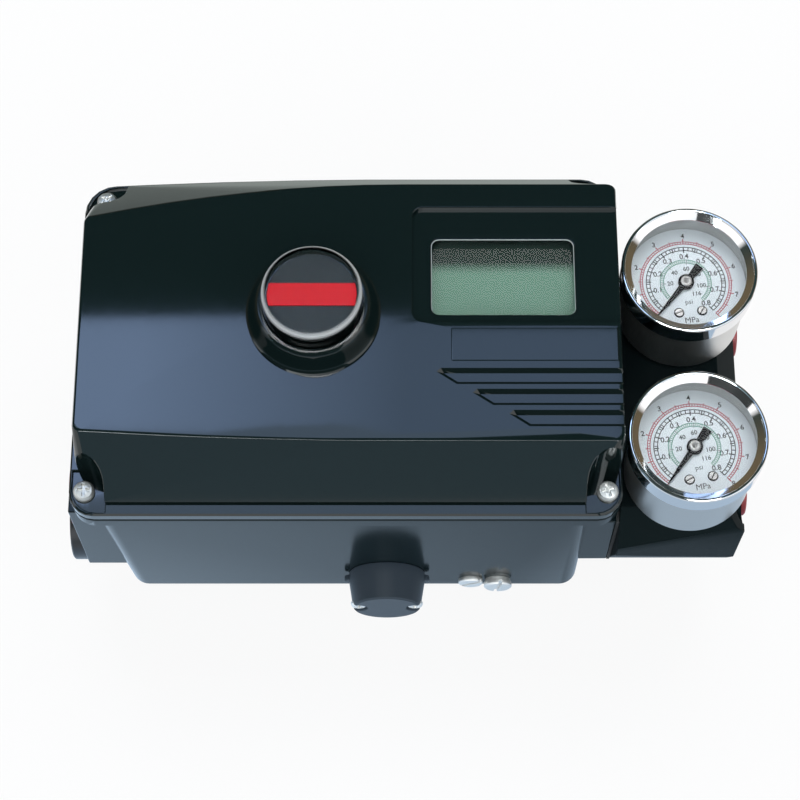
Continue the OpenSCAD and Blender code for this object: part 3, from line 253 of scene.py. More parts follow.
direction = add_node(world, "ShaderNodeTexCoord").outputs["Generated"]
axes = add_node(world, "ShaderNodeSeparateXYZ", {"Vector": direction})
forward = axes.outputs["Y"]
upward = axes.outputs["Z"]
wall_band = product(world, ramp(world, upward, *WALL_FOOT), ramp(world, upward, *WALL_HEAD))
front_room = blend_colors(world, wall_band, ROOM_FRONT_LOW, ROOM_FRONT)
back_room = blend_colors(world, ramp(world, upward, *CEILING_RISE), ROOM_BACK, ROOM_CEILING)
room = add_node(world, "ShaderNodeMix", {"Factor": ramp(world, forward, *FRONT_TURN)}, data_type="RGBA")
world.node_tree.links.new(back_room, room.inputs["A"])
world.node_tree.links.new(front_room, room.inputs["B"])
world.node_tree.links.new(room.outputs["Result"], world.node_tree.nodes["Background"].inputs["Color"])
print("room has", len(world.node_tree.nodes), "nodes")

# %% [markdown]
# ## A card that glows
#
# A glossy piece shows the shapes of its lamps, so photographers light it with boards and soft boxes.
# Blender's own area lamps glow evenly. A card here is a flat mesh whose glow changes from one side to the
# other, turned to face a point. The camera doesn't see it.

# %% Make a card
def card(name, size, place, target, left, right, tone):
    """A glowing card that faces the target; left and right are (place on its X, strength) of its glow."""
    mesh = bpy.data.meshes.new(name)
    bm = bmesh.new()
    bmesh.ops.create_grid(bm, x_segments=1, y_segments=1, size=0.5)
    bmesh.ops.scale(bm, vec=(*size, 1), verts=bm.verts)
    bm.to_mesh(mesh)
    bm.free()
    panel = bpy.data.objects.new(name, mesh)
    panel.location = place
    panel.rotation_euler = (Vector(target) - Vector(place)).to_track_quat("-Z", "Y").to_euler()
    scene.collection.objects.link(panel)
    glow = bpy.data.materials.new(name)
    glow.use_nodes = True
    glow.node_tree.nodes.clear()
    across = add_node(glow, "ShaderNodeSeparateXYZ", {"Vector": object_coordinates(glow)}).outputs["X"]
    strength = add_node(glow, "ShaderNodeMapRange", {
        "Value": across, "From Min": left[0], "From Max": right[0], "To Min": left[1], "To Max": right[1]})
    lamp = add_node(glow, "ShaderNodeEmission", {
        "Color": (*tone, 1), "Strength": strength.outputs["Result"]})
    add_node(glow, "ShaderNodeOutputMaterial", {"Surface": lamp.outputs["Emission"]})
    mesh.materials.append(glow)
    panel.visible_camera = False
    panel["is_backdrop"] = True
    return panel


print("card helper ready")

# %% [markdown]
# ## Lamps and cards
#
# The cover's lower half mirrors a blue soft box overhead, brighter at the left, and its upper half mirrors
# the dark ceiling beyond the box's far edge. A weaker strip in front of the box shows in the rim's ledge. A
# white lamp high behind the object lights the dials past the rims of their bezels. It only lends light: no
# surface mirrors it.
#
# Four more cards work the other way: they show in mirrors and light nothing. A bright one in front draws
# thin lines along the rounded edges. A dim one close behind keeps the white floor out of the cover's upper
# slope. A dark one in front keeps the white wall out of the collar and the grooves. A blue-grey one near the
# floor shows in the wall of the base, brighter at the left. It faces up, so its own X runs from right to
# left.

# %% Soft box, lamp and cards
BOX_RISE = 1.25
BOX_NEAR_EDGE = 0.4
BOX_FAR_EDGE = 0.56
BOX_LEFT = -0.55
BOX_RIGHT = 0.24
BOX_BRIGHT_END = -0.23
BOX_DIM_END = 0.03
STRIP_FORWARD = 0.14
box_width = BOX_RIGHT - BOX_LEFT
box_place = Vector((
    (BOX_LEFT + BOX_RIGHT) / 2, (BOX_NEAR_EDGE + BOX_FAR_EDGE) / 2, FACE_HEIGHT + BOX_RISE))
card("soft_box", size=(box_width, BOX_FAR_EDGE - BOX_NEAR_EDGE),
     place=box_place, target=(box_place.x, box_place.y, 0),
     left=(BOX_BRIGHT_END - box_place.x, 6.0), right=(BOX_DIM_END - box_place.x, 2.4),
     tone=(0.45, 0.63, 1.0))
card("ledge_strip", size=(box_width, 0.12),
     place=box_place + Vector((0, -STRIP_FORWARD, 0)), target=(box_place.x, box_place.y - STRIP_FORWARD, 0),
     left=(-0.4, 2.2), right=(0.4, 2.2), tone=(0.52, 0.7, 1))
key_lamp = card("key_lamp", size=(1.2, 0.7), place=(0.05, 0.55, 1.3), target=(0.03, 0, 0.1),
                left=(-0.6, 5.6), right=(0.6, 5.6), tone=(0.97, 0.985, 1))
key_lamp.visible_glossy = False
flags = [
    card("edge_card", size=(1.2, 0.6), place=(0, -0.62, 1.25), target=(0, -0.045, 0.1),
         left=(-0.3, 20), right=(0.25, 9), tone=(0.9, 0.97, 1)),
    card("back_flag", size=(0.34, 0.085), place=(0.03, 0.1, 0.055), target=(0.03, 0, 0.055),
         left=(-0.17, 0.4), right=(0.17, 0.4), tone=(0.9, 1, 0.95)),
    card("collar_flag", size=(0.384, 0.14), place=(-0.079, -0.12, 0.175), target=(-0.079, -0.02, 0.1),
         left=(-0.1, 0.05), right=(0.1, 0.05), tone=(0.9, 1, 1)),
    card("foot_flag", size=(0.36, 0.14), place=(0.02, -0.1, -0.02), target=(0.02, -0.1, 1),
         left=(-0.057, 0.72), right=(0.11, 1.4), tone=(0.62, 0.8, 1)),
]
for flag in flags:
    for light in ("diffuse", "transmission", "shadow"):
        setattr(flag, "visible_" + light, False)
print("three lamps and", len(flags), "cards in place")

# %% [markdown]
# ## The floor
#
# The object lies on white paper, a single flat face that takes its shadow. To the camera and in mirrors and
# glass the paper is mixed with plain white, so that it stays pale and the shadow stays soft. The Light Path
# node tells these views of the paper from the light that it sends back to the object, which stays natural.

# %% White paper
FLOOR_REACH = 0.7
FLOOR_GAP = 0.1 * mm
FLOOR_WHITE = 0.9
floor_mesh = bpy.data.meshes.new("floor")
bm = bmesh.new()
bmesh.ops.create_grid(bm, x_segments=1, y_segments=1, size=FLOOR_REACH)
bmesh.ops.translate(bm, vec=(0, 0, cad_low.z - FLOOR_GAP), verts=bm.verts)
bm.to_mesh(floor_mesh)
bm.free()
floor = bpy.data.objects.new("floor", floor_mesh)
scene.collection.objects.link(floor)
floor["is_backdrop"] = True
paper, paper_shader = new_finish("floor_paper", (0.9, 0.9, 0.9), roughness=0.9)
paths = add_node(paper, "ShaderNodeLightPath")
seen = paths.outputs["Is Camera Ray"]
for name in ("Is Glossy Ray", "Is Transmission Ray"):
    either = add_node(paper, "ShaderNodeMath", {0: seen, 1: paths.outputs[name]}, operation="MAXIMUM")
    seen = either.outputs["Value"]
plain_white = add_node(paper, "ShaderNodeEmission")
share = spread(paper, seen, 0, FLOOR_WHITE)
mixed = add_node(paper, "ShaderNodeMixShader", {
    0: share, 1: paper_shader.outputs["BSDF"], 2: plain_white.outputs["Emission"]})
paper_output = paper.node_tree.nodes["Material Output"]
paper.node_tree.links.new(mixed.outputs["Shader"], paper_output.inputs["Surface"])
floor_mesh.materials.append(paper)
print("floor at", round((cad_low.z - FLOOR_GAP) / mm, 1), "mm")

# %% [markdown]
# ## Black finishes
#
# The record gives every node a material slot, and each slot gets a finish of the same name. Most of the
# object is black: a glossy moulded cover, a painted base and gauge block, a matt vent cap, and rubber, keys
# and pointers. Painted and moulded surfaces are never quite even, so one helper drives bump and roughness
# from the same noise: large soft waves on the cover, finer grain on the rest.

# %% Moulded and painted blacks
finish = {}


def grained(name, color, roughness, cells, depth, low, high, detail=3.0, **sockets):
    """A finish with a fine grain, in cells per metre, that moves its roughness between low and high."""
    material, shader = new_finish(name, color, roughness, **sockets)
    roughen(material, shader, noise(material, cells, detail), depth, low, high)
    return material


finish["cover_black"] = grained(
    "cover_black", (0.005, 0.011, 0.011), 0.04, cells=420, depth=0.0005 * mm, low=0.035, high=0.055,
    detail=2)
finish["base_black"] = grained(
    "base_black", (0.006, 0.013, 0.016), 0.16, cells=900, depth=0.002 * mm, low=0.13, high=0.19, detail=2,
    Specular_IOR_Level=0.17)
finish["block_black"] = grained(
    "block_black", (0.007, 0.012, 0.013), 0.3, cells=900, depth=0.004 * mm, low=0.26, high=0.34, detail=2,
    Specular_IOR_Level=0.01)
finish["cap_black"] = grained(
    "cap_black", (0.05, 0.066, 0.085), 0.36, cells=1500, depth=0.012 * mm, low=0.32, high=0.4, detail=2,
    Specular_IOR_Level=0.1)
finish["rubber_black"] = grained(
    "rubber_black", (0.012, 0.012, 0.012), 0.7, cells=1200, depth=0.02 * mm, low=0.62, high=0.78)
finish["key_black"] = grained(
    "key_black", (0.02, 0.02, 0.022), 0.5, cells=2500, depth=0.01 * mm, low=0.45, high=0.55)
finish["key_grey"] = grained(
    "key_grey", (0.22, 0.23, 0.24), 0.5, cells=2500, depth=0.01 * mm, low=0.45, high=0.55)
finish["indicator_black"] = grained(
    "indicator_black", (0.026, 0.036, 0.044), 0.6, cells=1500, depth=0.01 * mm, low=0.5, high=0.6,
    Specular_IOR_Level=0.1)
finish["hand_black"] = grained(
    "hand_black", (0.004, 0.004, 0.005), 0.5, cells=2500, depth=0.004 * mm, low=0.45, high=0.55,
    Specular_IOR_Level=0.05)
print(len(finish), "black and grey finishes")

# %% [markdown]
# ## Metals
#
# Screws, shaft, gauges and the pieces inside are bare or plated metal. A metal needs no more than its
# colour, its roughness and a grain. The grain is noise drawn out along Z, the way a turned or drawn piece is
# worked, and it makes the roughness waver about its mean. The bezels are polished, so their mean is low.

# %% Bare and plated metals
METALS = {
    "nickel_steel": ((0.82, 0.81, 0.79), 0.45, 1400),
    "dial_steel": ((0.34, 0.33, 0.32), 0.45, 1400),
    "black_steel": ((0.05, 0.052, 0.055), 0.35, 1400),
    "shaft_steel": ((0.5, 0.5, 0.5), 0.28, 1800),
    "motor_iron": ((0.3, 0.3, 0.31), 0.45, 900),
    "coil_copper": ((0.7, 0.32, 0.16), 0.38, 2500),
    "valve_aluminium": ((0.66, 0.67, 0.68), 0.36, 1200),
    "brass": ((0.72, 0.53, 0.25), 0.28, 1500),
    "gauge_steel": ((0.58, 0.575, 0.56), 0.3, 1600),
    "bezel_chrome": ((0.78, 0.78, 0.79), 0.06, 1200),
}
GRAIN_STRETCH = (1, 1, 0.08)
GRAIN_DEPTH = 0.002 * mm
GRAIN_SMOOTHEST = 0.85
GRAIN_ROUGHEST = 1.2
for name, (color, roughness, cells) in METALS.items():
    metal, shader = new_finish(name, color, roughness, metallic=1.0)
    grain = noise(metal, cells, detail=2, stretch=GRAIN_STRETCH)
    roughen(metal, shader, grain, GRAIN_DEPTH, roughness * GRAIN_SMOOTHEST, roughness * GRAIN_ROUGHEST)
    finish[name] = metal
print(len(METALS), "metals")

# %% [markdown]
# ## Clear pieces
#
# The dome and the panes are clear plastic. Full transmission with a low index keeps what lies behind them
# plain to see. The dome's shoulder shows bright where the clear wall bends light from the room towards the
# eye, and here that is a painted highlight: a mask that depends on the distance from the dome's axis and on
# height takes some of the transmission away, so that the white base colour shows there.

# %% Dome and panes
# Painted highlight on the dome's shoulder: where it starts, where it is full, how far below the top it
# reaches, and how clear it stays.
DOME_SHEEN_FROM = 14.4 * mm
DOME_SHEEN_TO = 15.4 * mm
DOME_SHEEN_DROP = 3.2 * mm
DOME_SHEEN_CLEARNESS = 0.45
clear_dome, shader = new_finish("clear_dome", (0.98, 0.985, 0.985), roughness=0.01, IOR=1.08)
waves = noise(clear_dome, scale=90, detail=2)
roughen(clear_dome, shader, waves, depth=0.004 * mm, low=0.0, high=0.02)
dome_place = object_coordinates(clear_dome)
sideways = add_node(clear_dome, "ShaderNodeVectorMath", {0: dome_place, 1: (1, 1, 0)}, operation="MULTIPLY")
from_axis = add_node(clear_dome, "ShaderNodeVectorMath", {0: sideways.outputs["Vector"]}, operation="LENGTH")
height = add_node(clear_dome, "ShaderNodeSeparateXYZ", {"Vector": dome_place}).outputs["Z"]
# Painted highlight: the shoulder turns partly opaque and white, standing in for light bent along the clear
# wall.
painted_sheen = product(clear_dome, ramp(clear_dome, from_axis.outputs["Value"], DOME_SHEEN_FROM, DOME_SHEEN_TO),
               ramp(clear_dome, height, dome_top - DOME_SHEEN_DROP, dome_top - DOME_SHEEN_DROP / 2))
clearness = spread(clear_dome, painted_sheen, 1.0, DOME_SHEEN_CLEARNESS)
clear_dome.node_tree.links.new(clearness, shader.inputs["Transmission Weight"])
finish["clear_dome"] = clear_dome
finish["clear_pane"] = grained(
    "clear_pane", (0.985, 0.99, 0.99), 0.01, cells=60, depth=0.002 * mm, low=0.0, high=0.015, detail=2,
    IOR=1.2, Transmission_Weight=1.0)
print("dome and panes are clear")

# %% [markdown]
# ## Coloured pieces
#
# The display is pale green, with a painted shade over its upper part, where the recess's top edge shades it.
# A ramp along Y makes that step from pale to dark green, measured from the window's top edge. The boards,
# the indicator's bar, the plugs and the dials are plain colours, and slow noise between two close tones
# keeps them from looking like flat paint.

# %% Display, boards, plugs and dials
LCD_PALE = (0.145, 0.275, 0.2)
# Painted shade: the display's upper part is darkened where the recess's top edge shades it.
LCD_PAINTED_SHADE = (0.018, 0.034, 0.028)
PAINTED_SHADE_STARTS = 13 * mm
PAINTED_SHADE_FULL = 9 * mm
lcd_green, shader = new_finish("lcd_green", LCD_PALE, roughness=0.5, Specular_IOR_Level=0.02)
window_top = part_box("lcd_window")[1].y
lcd_place = add_node(lcd_green, "ShaderNodeSeparateXYZ", {"Vector": object_coordinates(lcd_green)})
painted_shade = ramp(lcd_green, lcd_place.outputs["Y"], window_top - PAINTED_SHADE_STARTS, window_top - PAINTED_SHADE_FULL)
tint(lcd_green, shader, painted_shade, LCD_PALE, LCD_PAINTED_SHADE)
finish["lcd_green"] = lcd_green


def mottled(name, color, roughness, cells, first, second, **sockets):
    """A finish whose colour wavers between two close tones."""
    material, shader = new_finish(name, color, roughness, **sockets)
    tint(material, shader, noise(material, cells), first, second)
    return material


finish["board_green"] = mottled(
    "board_green", (0.03, 0.14, 0.07), 0.4, cells=300, first=(0.025, 0.12, 0.06), second=(0.035, 0.16, 0.08))
finish["indicator_red"] = mottled(
    "indicator_red", (0.6, 0.01, 0.02), 0.5, cells=500, first=(0.58, 0.009, 0.018),
    second=(0.62, 0.011, 0.022), Specular_IOR_Level=0.1)
finish["plug_red"] = mottled(
    "plug_red", (0.3, 0.012, 0.018), 0.4, cells=500, first=(0.27, 0.01, 0.016), second=(0.33, 0.015, 0.021))
finish["dial_white"] = mottled(
    "dial_white", (0.82, 0.86, 0.885), 0.5, cells=200, first=(0.81, 0.85, 0.875), second=(0.83, 0.87, 0.895))
print(sorted(set(slot_of.values()) - set(finish)), "slots left without a finish")

# %% [markdown]
# ## Soft edges
#
# A moulded or machined edge is never quite sharp, and the thin bright line along it is what tells the eye
# so. A Bevel modifier would round the CAD meshes, but they stay as they are, and it can't merge their loose
# triangles first. So a copy is merged into one skin and its flat faces are joined. Faces with notches are
# split again, because a round on such a face can fold it over itself. Only outer edges that turn by more
# than 50 degrees get a narrow round: gentler ones are mostly steps of a curve. The copy then takes the
# place of its node.

# %% Round the edges of a copy
SHARP_TURN = math.radians(28)
ROUND_TURN = math.radians(50)
FLAT_TURN = math.radians(0.6)
MERGE_REACH = 0.002 * mm
LARGE_FACES_LEAD = 100


def flatten_shading(piece):
    """Keep the large faces evenly lit: let face area weigh the shading normals, and bake them in."""
    weigh = piece.modifiers.new("weigh", "WEIGHTED_NORMAL")
    weigh.keep_sharp = True
    weigh.weight = LARGE_FACES_LEAD
    shaded = piece.evaluated_get(bpy.context.evaluated_depsgraph_get())
    baked = bpy.data.meshes.new_from_object(shaded)
    piece.modifiers.clear()
    piece.data = baked


def soften(node, width, segments):
    """A copy of a node's mesh with rounded edges, standing in its place."""
    mesh = bpy.data.meshes.new("soft_" + node)
    bm = bmesh.new()
    bm.from_mesh(frame["nodes"][node].data)
    bmesh.ops.remove_doubles(bm, verts=bm.verts, dist=MERGE_REACH)
    bmesh.ops.dissolve_limit(bm, angle_limit=FLAT_TURN, verts=bm.verts, edges=bm.edges)
    bmesh.ops.connect_verts_concave(bm, faces=bm.faces)
    sharp = [edge for edge in bm.edges
             if edge.is_manifold and edge.is_convex and edge.calc_face_angle(0) > ROUND_TURN]
    bmesh.ops.bevel(bm, geom=sharp, offset=width, segments=segments, profile=0.5, affect="EDGES",
                    clamp_overlap=False, material=-1)
    for face in bm.faces:
        face.smooth = True
    for edge in bm.edges:
        edge.smooth = not edge.is_manifold or edge.calc_face_angle(0) < SHARP_TURN
    bm.to_mesh(mesh)
    bm.free()
    piece = bpy.data.objects.new("soft_" + node, mesh)
    scene.collection.objects.link(piece)
    mesh.materials.append(finish[slot_of[node]])
    flatten_shading(piece)
    seat(piece, node)


print("rounding edges past", round(math.degrees(ROUND_TURN)), "degrees")

# %% [markdown]
# ## Which edges are soft
#
# The pieces that show get rounds of their own size, from half a millimetre on the painted base to a
# twentieth on the pointers. The large mouldings have one more step in each round. All other pieces keep
# their CAD mesh, and every CAD mesh gets the finish of its slot.

# %% Soften and show the CAD pieces
ROUNDS = {
    "front_cover": (0.35, 3), "base_housing": (0.5, 3), "gauge_block": (0.4, 3), "vent_cap": (0.4, 3),
    "cover_screws": (0.1, 2), "vent_screws": (0.08, 2), "ground_screws": (0.1, 2),
    "auto_manual_screw": (0.15, 2), "port_plugs": (0.2, 2), "conduit_plug": (0.3, 2),
    "blanking_plug": (0.3, 2), "indicator_disc": (0.1, 2), "indicator_bar": (0.06, 2),
    "main_shaft": (0.2, 2), "lcd_panel": (0.1, 2), "upper_gauge_pointer": (0.05, 2),
    "lower_gauge_pointer": (0.05, 2), "upper_gauge_case": (0.2, 2), "lower_gauge_case": (0.2, 2),
}
for node, (width, segments) in ROUNDS.items():
    soften(node, width * mm, segments)
for node, piece in frame["nodes"].items():
    piece.data.materials.clear()
    piece.data.materials.append(finish[slot_of[node]])
print(len(ROUNDS), "pieces with soft edges")

# %% [markdown]
# ## Dials
#
# Each dial carries three scales on one sweep of 280 degrees: red outside, black in the middle and green
# inside. A scale is a pair of thin rings with ticks between and past them, and a row of numbers. A picture
# on the dial would blur up close, so the print is flat faces just above it. They are drawn about the dial's
# centre, in mm, with zero at the lower left, and turned with the dial.

# %% Inks
INKS = {"ink_red": (0.45, 0.02, 0.06), "ink_black": (0.006, 0.006, 0.008), "ink_green": (0.06, 0.26, 0.17),
        "ink_grey": (0.03, 0.045, 0.045)}
INK_THIN = 1.12
ink = {}
for name, color in INKS.items():
    thin = tuple(INK_THIN * v for v in color)
    ink[name] = mottled(name, color, roughness=0.5, cells=900, first=color, second=thin)
print(len(ink), "inks")

# %% [markdown]
# ## Lines on a dial
#
# A ring is a short edge spun about the centre, and a tick is a square that is drawn out and turned. A track
# is two rings joined by ticks, like a ladder bent round the dial.

# %% Rings and ticks
ZERO_ANGLE = math.radians(225)
SWEEP = math.radians(280)
RING_STEPS = 120


def scale_angle(fraction):
    """The angle on the dial at a share of the sweep."""
    return ZERO_ANGLE - SWEEP * fraction


def on_dial(radius, angle):
    """A point of the dial, in metres, from a radius in mm."""
    return Vector((radius * math.cos(angle), radius * math.sin(angle), 0)) * mm


def draw_ring(bm, radius, width):
    """A thin arc over the whole sweep: a short edge across the line, spun about the middle of the dial."""
    ends = [bm.verts.new(on_dial(radius + side * width / 2, scale_angle(0))) for side in (-1, 1)]
    across = bm.edges.new(ends)
    bmesh.ops.spin(bm, geom=[*ends, across], cent=(0, 0, 0), axis=(0, 0, 1), angle=-SWEEP, steps=RING_STEPS)


def draw_tick(bm, fraction, start, end, width):
    """A radial line of print: a square, drawn out and turned to its place on the scale."""
    square = bmesh.ops.create_grid(bm, x_segments=1, y_segments=1, size=0.5)["verts"]
    bmesh.ops.scale(bm, vec=((end - start) * mm, width * mm, 1), verts=square)
    bmesh.ops.translate(bm, vec=((start + end) / 2 * mm, 0, 0), verts=square)
    turn = Matrix.Rotation(scale_angle(fraction), 3, "Z")
    bmesh.ops.rotate(bm, cent=(0, 0, 0), matrix=turn, verts=square)


def draw_track(bm, low, high, ticks, width):
    """Two rings joined by fine ticks."""
    draw_ring(bm, low, width)
    draw_ring(bm, high, width)
    for i in range(ticks + 1):
        draw_tick(bm, i / ticks, low, high, width)


print("a ring has", RING_STEPS, "steps")

# %% [markdown]
# ## Numbers on a dial
#
# Blender's own font gives the numbers and the units. A text object is turned into a mesh, moved to its place
# and added to the print, and then it is removed. The numbers are a touch bolder than the font, so that they
# hold at the size of the picture.

# %% Words and numbers
NUMBER_WEIGHT = 0.04 * mm
LETTER_STEPS = 3


def draw_words(bm, words, x, y, size, weight=0.0):
    """Words turned into flat faces, centred on a point of the dial."""
    curve = bpy.data.curves.new("words", "FONT")
    curve.body = words
    curve.size = size * mm
    curve.offset = weight
    curve.align_x = "CENTER"
    curve.align_y = "CENTER"
    curve.resolution_u = LETTER_STEPS
    lettering = bpy.data.objects.new("words", curve)
    scene.collection.objects.link(lettering)
    mesh = bpy.data.meshes.new_from_object(lettering.evaluated_get(bpy.context.evaluated_depsgraph_get()))
    mesh.transform(Matrix.Translation((x * mm, y * mm, 0)))
    bm.from_mesh(mesh)
    bpy.data.objects.remove(lettering)
    bpy.data.curves.remove(curve)
    bpy.data.meshes.remove(mesh)


def draw_numbers(bm, numbers, full, radius, size):
    """A row of numbers on an arc, each at its share of the full scale."""
    for number in numbers:
        place = on_dial(radius, scale_angle(float(number) / full)) / mm
        draw_words(bm, number, place.x, place.y, size, NUMBER_WEIGHT)


print("numbers are", NUMBER_WEIGHT / mm, "mm bolder than the font")

# %% [markdown]
# ## Three scales in four inks
#
# The three scales show the same pressure in bar, MPa and psi. Each ink is one piece, because one piece has
# one finish. The bar numbers are black like the MPa scale, and the psi numbers are grey. Every second long
# tick carries a number and reaches further out or in.

# %% Draw each ink
RED_TRACK = (14.2, 15.0)
RED_TICK_ENDS = (16.0, 15.6)
BLACK_TRACK = (11.8, 13.0)
BLACK_TICK_ENDS = (11.0, 11.4)
GREEN_TRACK = (7.3, 8.4)
PSI_TICK_END = 6.7
LONG_TICKS = 16
FULL_BAR = 8
FULL_MPA = 0.8
FULL_PSI = 116


def red_print(bm):
    """The outer scale and its unit."""
    low, high = RED_TRACK
    draw_track(bm, low, high, ticks=80, width=0.26)
    for i in range(LONG_TICKS + 1):
        draw_tick(bm, i / LONG_TICKS, low, RED_TICK_ENDS[i % 2], width=0.32)
    draw_words(bm, "bar", x=0, y=-16.3, size=2.4)


def black_print(bm):
    """The middle scale and its unit, and the numbers of two scales."""
    low, high = BLACK_TRACK
    draw_track(bm, low, high, ticks=40, width=0.28)
    for i in range(LONG_TICKS + 1):
        draw_tick(bm, i / LONG_TICKS, BLACK_TICK_ENDS[i % 2], high, width=0.36)
    tenths = ["0", "0.1", "0.2", "0.3", "0.4", "0.5", "0.6", "0.7", "0.8"]
    draw_numbers(bm, tenths, FULL_MPA, radius=9.6, size=2.5)
    draw_numbers(bm, ["1", "2", "3", "4", "5", "6", "7", "8"], FULL_BAR, radius=17.0, size=2.4)
    draw_words(bm, "MPa", x=0, y=-13.4, size=2.8)


def green_print(bm):
    """The inner track."""
    draw_track(bm, *GREEN_TRACK, ticks=58, width=0.24)


def grey_print(bm):
    """The inner scale's long ticks, numbers and unit."""
    for number in (0, 20, 40, 60, 80, 100):
        draw_tick(bm, number / FULL_PSI, PSI_TICK_END, GREEN_TRACK[1], width=0.2)
    draw_numbers(bm, ["20", "40", "60", "80", "100", "116"], FULL_PSI, radius=5.1, size=2.1)
    draw_words(bm, "psi", x=0, y=-6.9, size=2.4)


PRINTS = {"ink_red": red_print, "ink_black": black_print, "ink_green": green_print, "ink_grey": grey_print}
print(len(PRINTS), "layers of print")

# %% [markdown]
# ## Print both dials
#
# The gauges aren't screwed in to quite the same turn, so each dial has its own. The layers lie a few
# hundredths of a millimetre above the dial and one above the other, so that no two faces share a plane.

# %% Lay the print on the dials
DIAL_TURNS = {"upper": math.radians(6), "lower": math.radians(9)}
PRINT_GAP = 0.03 * mm
LAYER_STEP = 0.2


def dial_frame(which):
    """The turned frame at the middle of a dial's printed side."""
    low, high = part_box(f"{which}_gauge_dial")
    middle = (low + high) / 2
    return Matrix.Translation((middle.x, middle.y, high.z)) @ Matrix.Rotation(DIAL_TURNS[which], 4, "Z")


def add_piece(name, bm, material, place):
    """A finished mesh object from a bmesh, with its place in the mesh."""
    mesh = bpy.data.meshes.new(name)
    bm.to_mesh(mesh)
    bm.free()
    mesh.transform(place)
    mesh.materials.append(material)
    piece = bpy.data.objects.new(name, mesh)
    scene.collection.objects.link(piece)
    return piece


for which in DIAL_TURNS:
    for layer, (name, draw) in enumerate(PRINTS.items()):
        bm = bmesh.new()
        draw(bm)
        bm.normal_update()
        bmesh.ops.reverse_faces(bm, faces=[face for face in bm.faces if face.normal.z < 0])
        lift = Matrix.Translation((0, 0, PRINT_GAP * (1 + LAYER_STEP * layer)))
        layer_print = add_piece(f"{which}_{name}", bm, ink[name], dial_frame(which) @ lift)
        add_trim(layer_print, f"{which}_gauge_dial")
print("dials printed in", len(PRINTS), "inks")

# %% [markdown]
# ## Small metal on the dials
#
# Two slotted screws with black washers hold each dial, and a turned cap closes the pointer's hub. The caps
# and washers are profiles spun about their own axes. A screw's head is a disc, cut twice and raised: cutting
# it in the flat is simpler than sinking a slot into a finished head.

# %% Turned and slotted shapes
WELD_REACH = 0.001 * mm
ROUND_STEPS = 40
WASHER_PROFILE = [(1.7, 0), (1.7, 0.12), (1.45, 0.18), (0, 0.18)]
HUB_CAP_PROFILE = [(1.9, 0), (1.9, 0.12), (1.75, 0.22), (0.5, 0.25), (0.42, 0.12), (0, 0.12)]


def spin_profile(bm, profile):
    """Turn a profile of (radius, height) points, in mm, about the Z axis."""
    verts = [bm.verts.new((r * mm, 0, z * mm)) for r, z in profile]
    edges = [bm.edges.new(pair) for pair in zip(verts, verts[1:])]
    bmesh.ops.spin(bm, geom=verts + edges, cent=(0, 0, 0), axis=(0, 0, 1), angle=2 * math.pi,
                   steps=ROUND_STEPS, use_merge=True)
    bmesh.ops.remove_doubles(bm, verts=bm.verts, dist=WELD_REACH)
    bmesh.ops.recalc_face_normals(bm, faces=bm.faces)
    for face in bm.faces:
        face.smooth = True


def raise_verts(bm, geometry, rise):
    """Lift the vertices among what an extrusion made."""
    verts = [item for item in geometry if isinstance(item, bmesh.types.BMVert)]
    bmesh.ops.translate(bm, vec=(0, 0, rise), verts=verts)


def slotted_head(bm, radius, rise, slot):
    """A low round head: a disc, cut along both sides of the slot, without its middle, and raised."""
    bmesh.ops.create_circle(bm, cap_ends=True, segments=ROUND_STEPS, radius=radius * mm)
    for side in (-1, 1):
        bmesh.ops.bisect_plane(bm, geom=[*bm.verts, *bm.edges, *bm.faces],
                               plane_co=(0, side * slot / 2 * mm, 0), plane_no=(0, 1, 0))
    middle = [face for face in bm.faces if abs(face.calc_center_median().y) < slot / 4 * mm]
    bmesh.ops.delete(bm, geom=middle, context="FACES")
    raised = bmesh.ops.extrude_face_region(bm, geom=bm.faces[:])["geom"]
    raise_verts(bm, raised, rise * mm)
    bmesh.ops.recalc_face_normals(bm, faces=bm.faces)


print("profiles of", len(WASHER_PROFILE), "and", len(HUB_CAP_PROFILE), "points")

# %% [markdown]
# ## Screws, washers and caps in place
#
# The screws sit to the left and right of the dial's middle line, below its centre, with their slots where
# the screwdriver left them. They belong to the dial, and the cap rides on the pointer, so it turns with it.

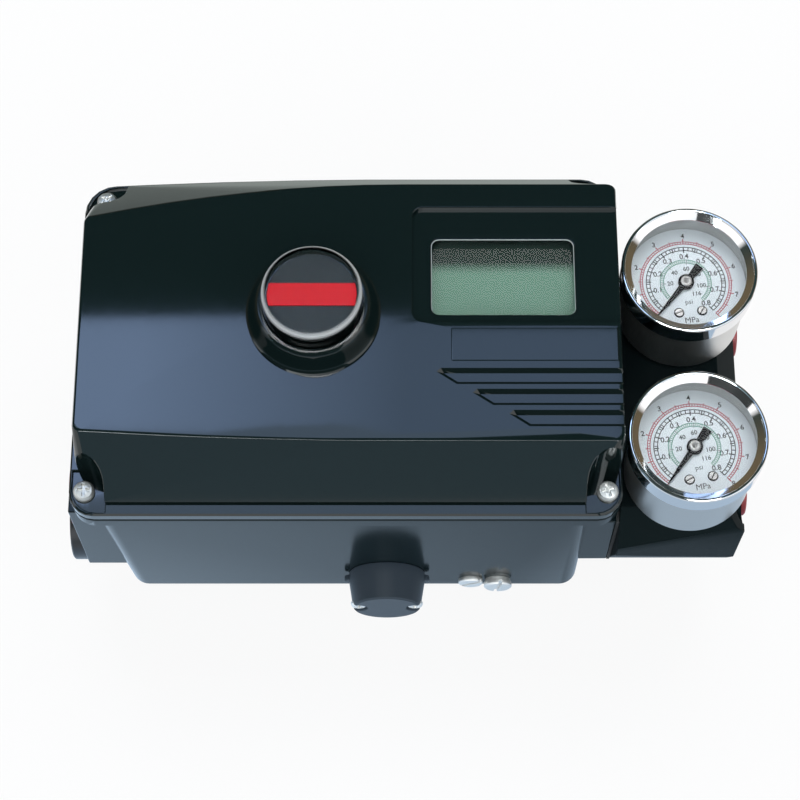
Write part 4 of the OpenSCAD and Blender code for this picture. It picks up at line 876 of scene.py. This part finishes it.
# %% Dial screws and hub caps
SCREW_ACROSS = 3.8
SCREW_DOWN = -10.4
SCREW_LIFT = 0.15 * mm
SLOT_TURNS = {-1: 20, 1: 55}
CAP_SINK = 0.05 * mm
for which in DIAL_TURNS:
    for side, slot_turn in SLOT_TURNS.items():
        place = dial_frame(which) @ Matrix.Translation((side * SCREW_ACROSS * mm, SCREW_DOWN * mm, 0))
        bm = bmesh.new()
        spin_profile(bm, WASHER_PROFILE)
        washer = add_piece(f"{which}_dial_washer", bm, finish["hand_black"], place)
        add_trim(washer, f"{which}_gauge_dial")
        bm = bmesh.new()
        slotted_head(bm, radius=1.3, rise=0.35, slot=0.4)
        turn = Matrix.Rotation(math.radians(slot_turn), 4, "Z")
        place = place @ Matrix.Translation((0, 0, SCREW_LIFT)) @ turn
        screw = add_piece(f"{which}_dial_screw", bm, finish["dial_steel"], place)
        add_trim(screw, f"{which}_gauge_dial")
    hand_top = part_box(f"{which}_gauge_pointer")[1].z
    place = Matrix.Translation((*dial_frame(which).translation.xy, hand_top - CAP_SINK))
    bm = bmesh.new()
    spin_profile(bm, HUB_CAP_PROFILE)
    hub_cap = add_piece(f"{which}_hub_cap", bm, finish["dial_steel"], place)
    add_trim(hub_cap, f"{which}_gauge_pointer")
print("dial screws and hub caps in place")

# %% [markdown]
# ## The window's edge
#
# The clear window has a raised edge that fills the opening in the cover. Its thin pale line is a painted
# highlight: the edge is an opaque pale grey rim rather than clear, and it catches the light as that line. It
# is a flat plate with rounded corners, inset by the edge's width, of which only the rim is kept and raised.
# The opening is smaller than the pane behind it by the pane's lap.

# %% Edge of the display window
PANE_LAP = 2.5 * mm
EDGE_GAP = 0.02 * mm
EDGE_WIDTH = 0.16 * mm
EDGE_RISE = 0.4 * mm
EDGE_CORNER = 2.6 * mm
EDGE_SINK = 1.95 * mm
edge_top = FACE_HEIGHT - EDGE_SINK
# Painted highlight: the edge is pale grey instead of clear, so that it shows as a bright line.
window_edge_highlight = grained(
    "window_edge_highlight", (0.5, 0.55, 0.54), 0.25, cells=600, depth=0.003 * mm, low=0.2, high=0.32)
low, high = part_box("lcd_window")
bm = bmesh.new()
plate = bmesh.ops.create_grid(bm, x_segments=1, y_segments=1, size=0.5)["verts"]
inset = 2 * (PANE_LAP + EDGE_GAP)
bmesh.ops.scale(bm, vec=(high.x - low.x - inset, high.y - low.y - inset, 1), verts=plate)
bmesh.ops.bevel(bm, geom=plate, offset=EDGE_CORNER, segments=8, profile=0.5, affect="VERTICES", material=-1)
middle = bm.faces[:]
bmesh.ops.inset_region(bm, faces=middle, thickness=EDGE_WIDTH, use_even_offset=True, use_boundary=True)
bmesh.ops.delete(bm, geom=middle, context="FACES")
raised = bmesh.ops.extrude_face_region(bm, geom=bm.faces[:], use_keep_orig=True)["geom"]
raise_verts(bm, raised, EDGE_RISE)
bmesh.ops.recalc_face_normals(bm, faces=bm.faces)
place = Matrix.Translation(((low.x + high.x) / 2, (low.y + high.y) / 2, edge_top - EDGE_RISE))
add_trim(add_piece("window_edge_highlight", bm, window_edge_highlight, place), "lcd_window")
print("window edge ends", round((edge_top - high.z) / mm, 2), "mm above the pane")

# %% [markdown]
# ## Measure and finish
#
# Trim must not make the object larger than its CAD solids, so the box is measured once more and printed like
# the first one.

# %% Print the final size
low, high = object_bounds()
print("final box in mm:", [round(v / mm, 1) for v in (*low, *high)])
